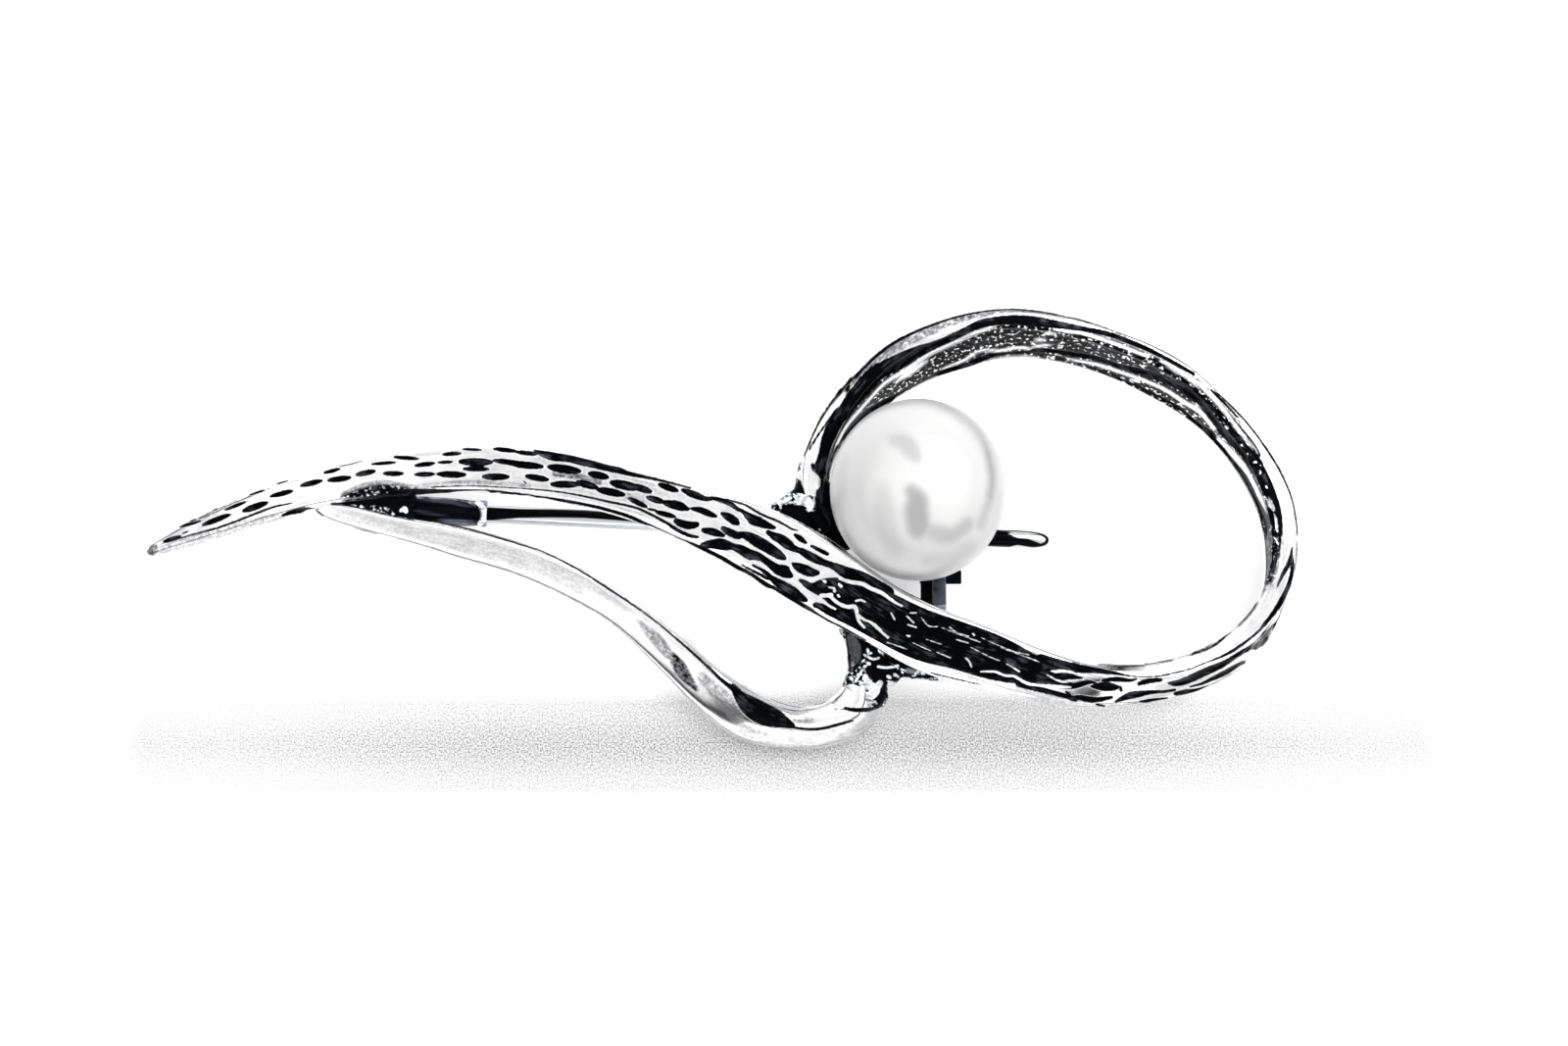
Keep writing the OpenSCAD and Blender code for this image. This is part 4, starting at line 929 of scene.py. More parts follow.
        [(13.89, -6.66, 0.05), (14.99, -7.21, 0.06), (15.54, -7.42, 0.05)],
        [(12.24, -5.55, 0.04), (14.44, -6.38, 0.06)],
        [(14.44, -6.11, 0.04), (16.09, -6.82, 0.06), (17.19, -7.09, 0.04)],
        [(10.59, -6.38, 0.04), (11.69, -6.88, 0.06)],
        [(15.54, -6.66, 0.04), (17.74, -7.48, 0.06)],
        [(6.35, 4.57, 0.08), (6.85, 5.55, 0.12), (7.4, 6.27, 0.12), (8.11, 7.09, 0.12), (8.66, 7.7, 0.12),
         (9.21, 8.2, 0.14), (9.93, 8.63, 0.2), (10.59, 9.02, 0.28), (11.41, 9.62, 0.18),
         (12.51, 10.18, 0.16), (13.61, 10.67, 0.16), (14.44, 11.05, 0.14), (15.26, 11.28, 0.12)],
        [(9.87, 8.3, 0.12), (10.59, 8.8, 0.28), (11.3, 9.29, 0.16)],
        [(12.51, 9.02, 0.07), (13.61, 9.46, 0.09), (14.44, 9.96, 0.08), (15.54, 9.96, 0.1),
         (16.36, 10.12, 0.12), (16.91, 10.12, 0.1)],
        [(17.19, 10.01, 0.07), (17.74, 10.23, 0.09), (18.4, 10.29, 0.07)],
        [(17.46, 10.29, 0.05), (18.01, 10.72, 0.07), (18.67, 11.11, 0.06)],
        [(19.66, 9.46, 0.09), (21.04, 9.19, 0.12), (22.41, 8.74, 0.12), (23.79, 8.25, 0.12),
         (24.89, 7.75, 0.14), (25.99, 7.04, 0.16), (26.81, 6.54, 0.2), (27.53, 5.72, 0.16)],
        [(24.61, 9.4, 0.07), (25.44, 8.86, 0.12), (26.54, 8.14, 0.13), (27.36, 7.42, 0.12),
         (28.19, 6.54, 0.1), (28.85, 5.61, 0.09), (29.56, 4.62, 0.08)],
        [(18.56, 11.17, 0.06), (19.94, 10.95, 0.07), (21.31, 10.62, 0.08), (22.69, 10.06, 0.08),
         (23.79, 9.62, 0.07)],
        # painted highlight: bare metal where the joint's white facet falls
        [(4.37, 2.97, 0.49), (4.7, 2.86, 0.66), (5.03, 2.75, 0.77), (5.25, 2.53, 0.55), (5.2, 2.31, 0.28)],
        [(27.75, 5.12, 0.17), (28.3, 4.57, 0.22), (28.85, 3.96, 0.25), (29.29, 3.41, 0.25),
         (29.62, 2.86, 0.2), (29.95, 2.2, 0.19), (30.22, 1.59, 0.19), (30.39, 1.21, 0.11)],
        [(30.61, 1.54, 0.19), (30.77, 1.21, 0.19)],
        [(30.99, 0.71, 0.11), (31.07, 0.06, 0.11)],
        [(18.4, -8, 0.09), (19.11, -7.97, 0.11), (19.61, -8.06, 0.12), (19.94, -8.2, 0.13),
         (20.6, -8.28, 0.17)],
        [(18.18, -8.2, 0.08), (18.73, -8.5, 0.1), (19.22, -8.61, 0.11), (19.72, -8.5, 0.09),
         (20.38, -8.47, 0.09)],
    ],
    # painted shade on the lower side faces and grey reflections on the loop's outer face and beside the
    # dents, in the colour of the thin oxide skin, each with its tone
    "greys": [
        (1, [(5.36, 6, 0.14), (6.19, 7.21, 0.22), (7.18, 8.14, 0.33), (8.39, 9.29, 0.49),
        (9.49, 10.06, 0.66), (10.86, 10.75, 0.66), (12.24, 11.36, 0.55), (13.61, 11.77, 0.39),
        (14.99, 12.07, 0.28), (16.64, 12.21, 0.22), (18.56, 11.99, 0.17)]), (0.62, [(-31.49, -1.29, 0.58),
        (-30.39, -0.96, 0.82), (-28.74, -0.58, 1.07), (-27.09, -0.14, 1.07), (-25.6, 0.3, 0.9),
        (-24.72, 0.63, 0.58)]), (1.35, [(-32.31, -1.49, 0.49), (-31.98, -1.16, 0.49)]),
        (0.35, [(13.89, -8.53, 0.44), (15.54, -8.86, 0.49), (17.19, -9.29, 0.49), (18.84, -9.79, 0.44),
        (20.49, -10.06, 0.33)]), (1, [(0.03, -1.38, 0.17), (0.41, -1.59, 0.17)]),
        (0.6, [(-17.46, 2.31, 0.22), (-14.16, 2.58, 0.28), (-10.86, 2.37, 0.22)]),
        (0.9, [(-9.43, 3.08, 0.33), (-8.66, 3.02, 0.39), (-7.56, 2.75, 0.33), (-6.9, 2.58, 0.28)]),
        (0.6, [(-5.36, 1.81, 0.33), (-4.54, 1.49, 0.28)]), (0.8, [(-21.2, 1.93, 0.33), (-20.1, 2.15, 0.79),
        (-19, 2.25, 0.92), (-18.01, 2.25, 0.59), (-17.24, 2.25, 0.33)]), (0.9, [(26.65, -6.88, 0.28),
        (27.31, -6.6, 0.28), (27.69, -6.43, 0.22)]), (1.1, [(29.01, -5.28, 0.28), (29.4, -4.84, 0.28),
        (29.78, -4.34, 0.33), (30, -4.07, 0.22)]), (0.8, [(30.28, -3.69, 0.28), (30.44, -3.19, 0.44),
        (30.55, -2.81, 0.44)]), (0.6, [(30.5, -1.98, 0.33), (30.55, -0.88, 0.49), (30.61, -0.22, 0.49)]),
        (1, [(32.29, -0.71, 0.17), (32.26, -1.71, 0.22), (32.15, -2.69, 0.22)]),
        (0.25, [(16.64, -9.19, 0.33), (18.29, -9.68, 0.39), (19.94, -9.96, 0.39), (22.69, -9.96, 0.33),
        (24.89, -9.62, 0.17)]), (0.5, [(30.06, 4.9, 0.17), (30.94, 3.58, 0.44), (31.38, 2.92, 0.28)]),
    ],
    # where the hollow keeps its cast skin
    "grains": [
        [(6.85, 4.62, 0.44), (7.56, 5.72, 0.66), (8.39, 6.82, 0.88), (9.49, 7.65, 1.1), (10.86, 8.47, 1.32),
         (12.24, 9.19, 1.32), (13.61, 9.96, 1.43), (14.99, 10.51, 1.65), (16.64, 10.67, 1.76),
         (18.29, 10.39, 1.87), (19.94, 10.12, 1.98), (21.59, 9.62, 2.09), (23.24, 8.91, 2.2),
         (24.89, 8.09, 2.2), (26.26, 7.09, 2.09), (27.64, 5.72, 2.28), (28.85, 4.24, 2.15),
         (29.84, 2.42, 1.9), (30.5, 0.49, 1.64), (30.72, -1.16, 1.26), (30.5, -2.81, 0.89)],
        [(-21.31, 1.76, 0.23), (-20.43, 1.95, 0.51), (-19.33, 2.12, 0.7), (-18.34, 2.15, 0.56),
         (-17.57, 2.15, 0.23)],
    ],
}
strandMarks = {
    # painted dark reflections: the black core on the strand's lower turn and thin dark lines along its edges
    "pools": [
        [(-10.2, -1.26, 0.07), (-8.94, -1.87, 0.1), (-7.56, -2.64, 0.11), (-6.46, -3.35, 0.12),
         (-5.36, -4.07, 0.12), (-4.26, -4.84, 0.11), (-3.16, -5.72, 0.11), (-2.06, -6.66, 0.14),
         (-0.96, -7.65, 0.17), (0.03, -8.58, 0.22), (0.96, -9.24, 0.33), (2.06, -9.79, 0.33),
         (3.16, -10.39, 0.33), (3.99, -11.05, 0.17)],
        [(0.58, -8.86, 0.33), (1.07, -9.57, 0.71), (1.68, -10.18, 1.04), (2.45, -10.62, 0.99),
         (3.27, -10.89, 0.6), (3.93, -11.17, 0.17)],
        [(3.88, -11.17, 0.14), (4.81, -11.28, 0.17), (5.64, -11.22, 0.17), (6.52, -11, 0.17),
         (7.29, -10.78, 0.13)],
        [(-16.36, 0.39, 0.06), (-14.44, 0, 0.09), (-13.06, -0.39, 0.11), (-11.41, -0.88, 0.1),
         (-10.2, -1.26, 0.07)],
        [(6.52, -5.72, 0.17), (6.9, -6.16, 0.19), (7.07, -6.76, 0.19), (7.09, -7.37, 0.19),
         (7.01, -7.97, 0.22), (6.79, -8.47, 0.22), (6.46, -8.96, 0.19), (6.02, -9.43, 0.17),
         (5.53, -9.76, 0.17), (4.81, -9.93, 0.14), (4.1, -9.97, 0.12), (2.89, -9.62, 0.11),
         (1.13, -8.63, 0.11), (-0.96, -6.99, 0.1), (-3.16, -5.12, 0.09), (-4.26, -4.24, 0.06)],
        [(6.85, -10.09, 0.17), (7.4, -10.18, 0.25), (8.11, -10.18, 0.25), (8.66, -10.01, 0.22)],
        [(-23.51, 0.99, 0.33), (-22.96, 0.91, 0.36), (-22.52, 0.66, 0.22)],
        [(6.3, -10.18, 0.09), (6.85, -10.12, 0.11)],
        [(-21.7, 0.17, 0.09), (-20.32, -0.11, 0.09), (-19.11, -0.44, 0.08)],
    ],
    # painted shade and grey reflections on the strand's faces, and a thin grey line along its edge
    "greys": [
        (0.85, [(-4.7, -5.22, 0.22), (-4.15, -5.78, 0.49), (-3.55, -6.43, 0.71), (-3.05, -7.09, 0.49)]),
        (1.6, [(-2.83, -7.09, 0.33), (-2.45, -7.75, 0.71), (-2.01, -8.42, 0.55), (-1.51, -9.02, 0.22)]),
        (0.63, [(-1.18, -8.3, 0.49), (-0.41, -9.13, 0.82), (0.3, -9.85, 0.99), (0.8, -10.62, 0.77)]),
        (0.45, [(1.24, -11.38, 0.71), (2.89, -11.94, 0.77), (4.54, -11.99, 0.77), (6.19, -11.61, 0.77),
         (7.73, -11.05, 0.66)]),
        (0.3, [(-16.91, -0.33, 0.78), (-13.06, -1.32, 1.11), (-9.76, -2.37, 1.23), (-7.56, -3.58, 1.23),
         (-5.64, -4.79, 0.89)]),
        (0.6, [(-18.18, -0.6, 0.08), (-16.36, -1.02, 0.08), (-14.93, -1.57, 0.1), (-11.58, -2.56, 0.1),
         (-8.55, -3.93, 0.1), (-6.19, -5.33, 0.1), (-3.71, -7.67, 0.1), (-1.79, -9.62, 0.1),
         (0.69, -11.58, 0.1), (2.89, -12.21, 0.1), (4.1, -12.27, 0.1), (5.64, -12.18, 0.1),
         (7.84, -11.49, 0.1), (8.77, -10.62, 0.09)]),
        (1.6, [(7.34, -6, 0.66), (7.45, -6.66, 0.77), (7.45, -7.32, 0.71), (7.29, -7.97, 0.49)]),
        (0.675, [(4.1, -10.78, 0.28), (4.65, -10.78, 0.33), (5.09, -10.78, 0.17)]),
        (0.3, [(-21.59, 0.82, 0.41), (-20.21, 0.49, 0.74), (-18.56, 0.06, 0.82), (-16.91, -0.44, 0.66)]),
    ],
}
# Black, bare metal and grey tones on the smaller pieces, in the same way; some are painted shade, highlights
# and reflections, as said at each
inks = {
    "loopSolder": {
        "pools": [
            [(2.5, 1.49, 0.09), (2.89, 1.54, 0.17), (3.27, 1.81, 0.28), (3.6, 2.15, 0.44),
             (3.99, 2.31, 0.6), (4.54, 2.15, 0.49)],
            [(3.44, 1.21, 0.28), (4.1, 0.82, 0.66), (4.65, 0.6, 0.82), (5.2, 0.44, 0.99)],
            # painted shade: the gap between the loop, the pearl and the strand
            [(5.8, 3.35, 0.77), (5.69, 2.15, 0.99), (5.86, 1.32, 1.32), (6.08, 0.49, 1.54),
             (6.41, -0.22, 1.32), (6.85, -0.94, 0.77)],
            [(4.1, 3.14, 0.17), (4.04, 2.75, 0.17), (3.77, 2.48, 0.22)],
            [(4.43, 1.21, 0.1), (4.65, 1.21, 0.1)],
        ],
        # painted highlights: bare solder where the joint's white facet and blue-white highlight fall
        "ridges": [
            [(4.37, 2.97, 0.49), (4.7, 2.86, 0.66), (5.03, 2.75, 0.77), (5.25, 2.53, 0.55),
             (5.2, 2.31, 0.28)],
            [(3.05, 1.51, 0.13), (3.38, 1.49, 0.17), (3.71, 1.68, 0.22)],
            [(4.04, 1.43, 0.22), (4.37, 1.54, 0.44), (4.7, 1.49, 0.55), (4.92, 1.26, 0.39),
             (4.81, 1.04, 0.22)],
            [(4.43, 1.87, 0.17), (4.54, 1.71, 0.28)],
        ]},
    "strandSolder": {
        "pools": [
            [(6.85, -10.06, 0.17), (7.4, -10.2, 0.33), (8.11, -10.23, 0.33), (8.66, -10.06, 0.28),
             (8.99, -9.62, 0.22)],
            [(10.15, -8.8, 0.17), (10.59, -8.44, 0.17), (11.41, -8.28, 0.17), (12.35, -8.36, 0.13)],
            [(9.1, -9.35, 0.28), (9.43, -9.46, 0.28)],
            [(8.39, -9.52, 0.22), (8.55, -9.46, 0.22)],
            [(8.28, -7.92, 0.55), (8.72, -8.3, 0.66)],
            [(9.21, -7.32, 0.28), (10.15, -7.65, 0.22)],
            [(7.07, -5.83, 0.44), (7.34, -6.43, 0.82), (7.45, -7.09, 0.88), (7.23, -7.81, 0.55)],
            [(8.06, -6, 0.44), (8.39, -6.66, 0.49), (8.55, -7.09, 0.39)],
            [(7.84, -6.38, 0.44), (8.17, -6.88, 0.66), (8.55, -7.37, 0.88), (9.1, -7.92, 0.99),
             (9.76, -8.25, 0.66), (10.42, -8.3, 0.39)],
            [(8.77, -8.58, 0.77), (9.1, -9.13, 0.66), (8.77, -9.57, 0.44)],
            [(9.6, -7.32, 0.55), (10.59, -7.87, 0.44)],
        ],
        "ridges": [
            [(6.35, -9.79, 0.28), (6.74, -9.46, 0.44), (7.12, -9.07, 0.6), (7.45, -9.02, 0.44)],
            [(8, -8.3, 0.28), (8.17, -8.74, 0.39), (8.55, -9.02, 0.55), (8.33, -9.35, 0.49),
             (8.83, -8.69, 0.33)],
            [(8.72, -7.75, 0.13), (9.21, -7.81, 0.13), (9.82, -7.7, 0.14)],
            [(9.27, -8.3, 0.17), (9.38, -8.36, 0.17)],
            [(9.32, -8.74, 0.17), (9.76, -8.74, 0.17)],
            [(9.65, -8.2, 0.17), (9.82, -8.3, 0.14)],
            [(8.11, -7.54, 0.14), (8.22, -7.59, 0.17)],
            [(7.95, -7.75, 0.14), (8.06, -7.7, 0.11)],
            [(8.17, -7.04, 0.11), (8.33, -6.99, 0.11)],
            [(8.11, -6.76, 0.11), (8.14, -6.88, 0.17)],
            [(7.95, -7.09, 0.11), (8.39, -7.32, 0.13), (8.77, -7.26, 0.11)],
            [(7.84, -7.92, 0.11), (7.62, -8.3, 0.14), (7.45, -8.58, 0.11)],
            [(10.04, -8.03, 0.09), (10.09, -8.09, 0.11)],
        ],
        "greys": [
            (0.13, [(7.18, -6.11, 0.44), (7.4, -6.66, 0.66), (7.4, -7.32, 0.6)]),
            (0.3, [(10.37, -7.97, 0.28), (11.03, -8.09, 0.22)]),
        ]},
    "hingeSolder": {
        "pools": [
            [(-21.59, 1.4, 0.17), (-20.65, 1.49, 0.33), (-19.39, 1.51, 0.49), (-18.56, 1.43, 0.71),
             (-17.9, 1.21, 1.26), (-17.19, 1.16, 1.71)],
        ],
        "ridges": [
            [(-18.07, 0.99, 0.17), (-17.88, 1.1, 0.28), (-17.79, 0.96, 0.22)],
        ]},
    "sleeve": {
        "pools": [
            [(-17.74, 0.99, 1.43), (-16.36, 0.88, 1.54), (-14.99, 0.82, 1.54), (-14.16, 0.77, 1.1)],
        ],
        # bare metal where the highlights fall on the nose and the collar: partly wear, partly painted
        # highlight
        "ridges": [
            [(-18.18, 1.1, 0.22), (-17.96, 1.16, 0.39)],
            [(-14.11, 1.54, 0.19), (-13.67, 1.38, 0.28), (-13.39, 0.99, 0.33), (-13.39, 0.55, 0.33),
             (-13.67, 0.22, 0.25)],
        ],
        # painted highlights along the top of the sleeve and a paler lower side
        "greys": [
            (0.35, [(-16.2, 1.54, 0.14), (-15.26, 1.46, 0.19), (-14.38, 1.26, 0.13)]),
            (0.25, [(-17.24, 0.99, 0.11), (-15.81, 0.71, 0.11)]),
            (0.9, [(-15.37, 0.39, 0.24), (-14.6, 0.33, 0.31), (-13.94, 0.33, 0.22)]),
        ]},
    "wire": {
        # painted dark reflections: the black upper half of the wire, and the black body, oval and outline of
        # its tip
        "pools": [
            [(-13.39, 0.82, 0.77), (-12.73, 0.8, 0.66), (-11.96, 0.82, 0.53), (-10.59, 0.85, 0.47),
             (-7.56, 0.8, 0.44), (-5.36, 0.6, 0.39), (-2.06, 0.33, 0.39)],
            [(13.61, -0.49, 1.32), (15.1, -0.6, 1.21), (15.76, -0.71, 0.94), (16.14, -0.94, 0.44)],
            [(16.31, -0.71, 0.28), (16.91, -0.77, 0.47), (17.46, -0.88, 0.33), (17.9, -0.96, 0.17)],
            [(15.54, -0.18, 0.12), (16.64, -0.13, 0.12), (17.63, -0.24, 0.13), (18.12, -0.46, 0.17),
             (18.23, -0.69, 0.19), (18.01, -0.94, 0.19), (17.52, -1.02, 0.17)],
        ],
        # painted shade on the wire's lower side
        "greys": [
            (0.35, [(-13.23, 0.22, 0.33), (-9.76, 0.17, 0.39), (-5.36, 0.06, 0.39)]),
        ]},
    "barNear": {
        # painted shade: the near bar is black all over, as it stands in shade
        "pools": [
            [(11.41, -2.53, 1.1), (11.41, -4.34, 1.1)],
        ]},
    "barFar": {
        "pools": [
            [(11.74, -3.02, 0.17), (11.74, -4.46, 0.17)],
        ],
        "ridges": [
            [(12.07, -3.35, 0.17), (12.24, -3.52, 0.22)],
            [(12.35, -4.01, 0.17), (12.29, -4.24, 0.17)],
        ]},
    "ledge": {
        "pools": [
            [(11.14, -2.75, 1.21), (13.61, -2.75, 1.21)],
        ]},
    "cup": {
        "pools": [
            [(8.39, -2.81, 1.43), (10.31, -3.14, 1.43)],
            [(10.31, -1.16, 3.3), (11.69, -1.16, 3.3)],
        ]},
    "pearl": {
        # painted shade along the right and lower rims, and painted grey reflections inside the bright part
        "greys": [
            (0.5, [(9.54, 4.9, 0.55), (10.15, 4.79, 0.94), (10.53, 4.34, 0.94), (10.86, 3.9, 0.66)]),
            (0.78, [(10.53, 2.09, 0.66), (10.86, 1.59, 1.1), (10.81, 0.94, 1.32), (10.92, 0.11, 1.32)]),
            (0.5, [(11.58, -0.11, 0.88), (12.24, -0.33, 0.94), (12.9, -0.33, 0.82), (13.67, 0.22, 0.71)]),
            (0.3, [(13.67, -0.94, 0.88), (12.79, -1.59, 0.77), (11.41, -1.81, 0.55)]),
            (0.5, [(12.35, 6.99, 0.13), (13.61, 6.38, 0.15)]),
            (0.85, [(13.61, 6.38, 0.17), (14.44, 5.33, 0.22), (14.82, 4.24, 0.28)]),
            (0.9, [(14.82, 4.24, 0.33), (15.04, 2.81, 0.39), (14.88, 1.59, 0.39)]),
            (0.6, [(14.88, 1.59, 0.44), (14.38, 0.22, 0.44)]),
            (0.25, [(6.63, 3.79, 0.77), (6.24, 1.87, 0.77), (6.41, -0.06, 0.66)]),
            (0.75, [(6.74, -0.33, 0.28), (7.4, -1.26, 0.44), (8.39, -2.15, 0.49)]),
            (0.85, [(8.39, -2.15, 0.49), (9.76, -2.69, 0.44), (11.14, -2.86, 0.39)]),
            (0.6, [(11.14, -2.86, 0.39), (12.57, -2.69, 0.33), (13.61, -2.15, 0.22)]),
            (0.25, [(8.94, 2.15, 0.88), (9.05, 0.49, 1.1), (9.6, -1.16, 0.99)]),
            (0.3, [(14.6, -1.16, 0.33), (15.26, 0.22, 0.39), (15.48, 1.87, 0.33)]),
        ]},
}
# A dent is a stroke that swells in its middle. Columns: share of its length, share of its width
dentWidths = [(0.05, 0.5), (0.25, 0.9), (0.5, 1.0), (0.75, 0.9), (0.95, 0.5)]
outOfReach = [(0, 500, 0), (1, 500, 0)]              # the one stroke of an empty chart


# Lines for the strokes, flat on the floor. Each point has half its width and its stroke's tone
def marksChart(name, strokes, tones=()):
    strokes = strokes or [outOfReach]
    tones = tones or [1.0] * len(strokes)
    verts, edges, halves, depths = [], [], [], []
    for stroke, tone in zip(strokes, tones):
        edges += [(len(verts) + k, len(verts) + k + 1) for k in range(len(stroke) - 1)]
        verts += [((x + toOrigin.x) * mm, (y + toOrigin.y) * mm, 0) for x, y, wide in stroke]
        halves += [wide / 2 * mm for x, y, wide in stroke]
        depths += [tone] * len(stroke)
    chart = meshPiece(name, verts, edges=edges)
    for label, values in (("half", halves), ("tone", depths)):
        column = chart.data.attributes.new(label, "FLOAT", "POINT")
        for i, value in enumerate(values):
            column.data[i].value = value
    return chart


# Inks a piece from its pools, ridges and greys, which are soft for so many mm. It keeps its material
def inkPiece(piece, marks, softness=0.05):
    greys = marks.get("greys", [])
    charts = {
        "blackMarks": marksChart("blackMarks", marks.get("pools")),
        "brightMarks": marksChart("brightMarks", marks.get("ridges")),
        "greyMarks": marksChart(
            "greyMarks", [stroke for tone, stroke in greys], [tone for tone, stroke in greys])}
    runTree(piece, inkTree, {**charts, "softness": softness * mm})
    for chart in charts.values():
        bpy.data.objects.remove(chart)


def growRibbon(name, sizes, marks, material):
    dents = [[(x0 + (x1 - x0) * t, y0 + (y1 - y0) * t, wide * share) for t, share in dentWidths]
             for x0, y0, x1, y1, wide in marks.get("dents", [])]
    charts = {
        "blackMarks": marksChart("blackMarks", dents + marks["pools"]),
        "brightMarks": marksChart("brightMarks", marks.get("ridges")),
        "castMarks": marksChart("castMarks", marks.get("grains"))}
    values = {key: value * mm if key in inMm else value for key, value in sizes.items()}
    piece = pathStart(name, sizes)
    runTree(piece, sweepTree, {**values, **charts, "material": material})
    for chart in charts.values():
        bpy.data.objects.remove(chart)
    inkPiece(piece, {"greys": marks["greys"]}, sizes["inkSoftness"])
    print(name, "has", len(piece.data.polygons), "faces")
    return piece


lashBand = growRibbon("lash_band", ribbon, bandMarks, oxidisedSilver)
returnStrand = growRibbon("return_strand", smoothStrand, strandMarks, oxidisedSilver)
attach(lashBand, "brooch")
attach(returnStrand, "brooch")
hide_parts("silver_band")

# Pearl: a little taller than wide, as it lies
pearlSizes = {
    "centre": (10.92, 2.15, 7.05),
    "radii": (4.92, 5.1, 4.95),  # mm
    "unevenness": 0.012,         # mm
    "swells": [(3.1, 1.0), (2.7, 0.0), (2.3, 0.5)],  # along x, y and z: radians to a radius, start
    "inkSoftness": 0.35,         # mm
    "room": 5.03,                # mm, the ball that its setting leaves free
}


def makePearl(sizes, material):
    bm = bmesh.new()
    bmesh.ops.create_icosphere(bm, subdivisions=6, radius=1.0)
    centre = (Vector(sizes["centre"]) + toOrigin) * mm
    for v in bm.verts:
        swells = [math.sin(waves * v.co[i] + start) for i, (waves, start) in enumerate(sizes["swells"])]
        radii = [radius + sizes["unevenness"] * math.prod(swells) for radius in sizes["radii"]]
        v.co = Vector([v.co[i] * radii[i] * mm for i in range(3)]) + centre
    piece = meshPiece("pearl_bead", [])
    bm.to_mesh(piece.data)
    bm.free()
    piece.data.materials.append(material)
    piece.data.shade_smooth()
    return piece


pearlBead = makePearl(pearlSizes, nacre)
inkPiece(pearlBead, inks["pearl"], pearlSizes["inkSoftness"])
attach(pearlBead, "brooch")
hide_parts("pearl")
print("pearl ready")

# The pin line: the wire's own frame, along +X from the rivet
pinLine = {
    "rivet": (-16.8, 0.98, 1.3),
    "wire": 0.5,               # mm, radius
    "play": 0.1,               # mm between the wire and its hinge or catch
}
channel = pinLine["wire"] + pinLine["play"]
alongPin = Matrix.Rotation(math.radians(pinSlope), 4, "Z")
onPinLine = Matrix.Translation(Vector(pinLine["rivet"]) + toOrigin) @ alongPin
inDrawing = Matrix.Translation(toOrigin)


# Closes a mesh, turns its faces outwards and gives it its material
def closeUp(piece, material):
    bm = bmesh.new()
    bm.from_mesh(piece.data)
    bmesh.ops.remove_doubles(bm, verts=bm.verts, dist=0.0005 * mm)
    bmesh.ops.holes_fill(bm, edges=bm.edges)
    bmesh.ops.recalc_face_normals(bm, faces=bm.faces)
    bm.to_mesh(piece.data)
    bm.free()
    piece.data.materials.append(material)


# Turned shape: rows of place along the axis and radius. The axis is local X, or Z for axis="Z"
def turnedPiece(name, rows, frameMatrix, material, axis="X", around=40):
    verts, faces = [], []
    for along, radius in rows:
        for k in range(around):
            t = 2 * math.pi * k / around
            c, d = radius * math.cos(t), radius * math.sin(t)
            spot = Vector((along, c, d)) if axis == "X" else Vector((c, d, along))
            verts.append((frameMatrix @ spot) * mm)
    for i in range(len(rows) - 1):
        for k in range(around):
            n = (k + 1) % around
            faces.append((i * around + k, i * around + n, (i + 1) * around + n, (i + 1) * around + k))
    piece = meshPiece(name, verts, faces)
    closeUp(piece, material)
    piece.data.shade_smooth()
    return piece


# Flat outline in y and z, pushed along X from one place to another, with its edges rounded for so many mm
def pushedPiece(name, outline, start, end, frameMatrix, material, rounding=0.0):
    count = len(outline)
    verts = [(frameMatrix @ Vector((x, y, z))) * mm for x in (start, end) for y, z in outline]
    faces = [tuple(range(count)), tuple(range(2 * count - 1, count - 1, -1))]
    faces += [(i, count + i, count + (i + 1) % count, (i + 1) % count) for i in range(count)]
    piece = meshPiece(name, verts, faces)
    closeUp(piece, material)
    if rounding:
        bevel = piece.modifiers.new("edges", "BEVEL")
        bevel.width, bevel.segments, bevel.limit_method = rounding * mm, 3, "ANGLE"
        piece.data.shade_smooth()
        piece.modifiers.new("faces", "WEIGHTED_NORMAL")
    return piece


# The piece keeps what lies outside the cutters, which go
def cutBy(piece, *cutters):
    for cutter in cutters:
        cut = piece.modifiers.new("cut", "BOOLEAN")
        cut.operation, cut.solver, cut.object = "DIFFERENCE", "EXACT", cutter
    settle(piece)
    for cutter in cutters:
        bpy.data.objects.remove(cutter)


# Columns: place along the pin line, radius
wireSizes = {
    "eye": [(-0.54, 0.0), (-0.5, 0.17), (-0.4, 0.33), (-0.25, 0.45), (0.0, 0.5)],
    "rings": 17,               # along the straight stretch
    "spacing": 1.8,            # mm between them
    "tip": [(32.4, 0.5), (33.4, 0.495), (34.0, 0.48), (34.4, 0.45), (34.7, 0.405), (34.92, 0.34),
            (35.07, 0.25), (35.16, 0.14), (35.2, 0.0)],
}
straight = [((k + 1) * wireSizes["spacing"], pinLine["wire"]) for k in range(wireSizes["rings"])]
wire = turnedPiece("pin_wire", wireSizes["eye"] + straight + wireSizes["tip"], onPinLine, pinWire)
inkPiece(wire, inks["wire"])
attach(wire, "pin")
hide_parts("pin_stem")

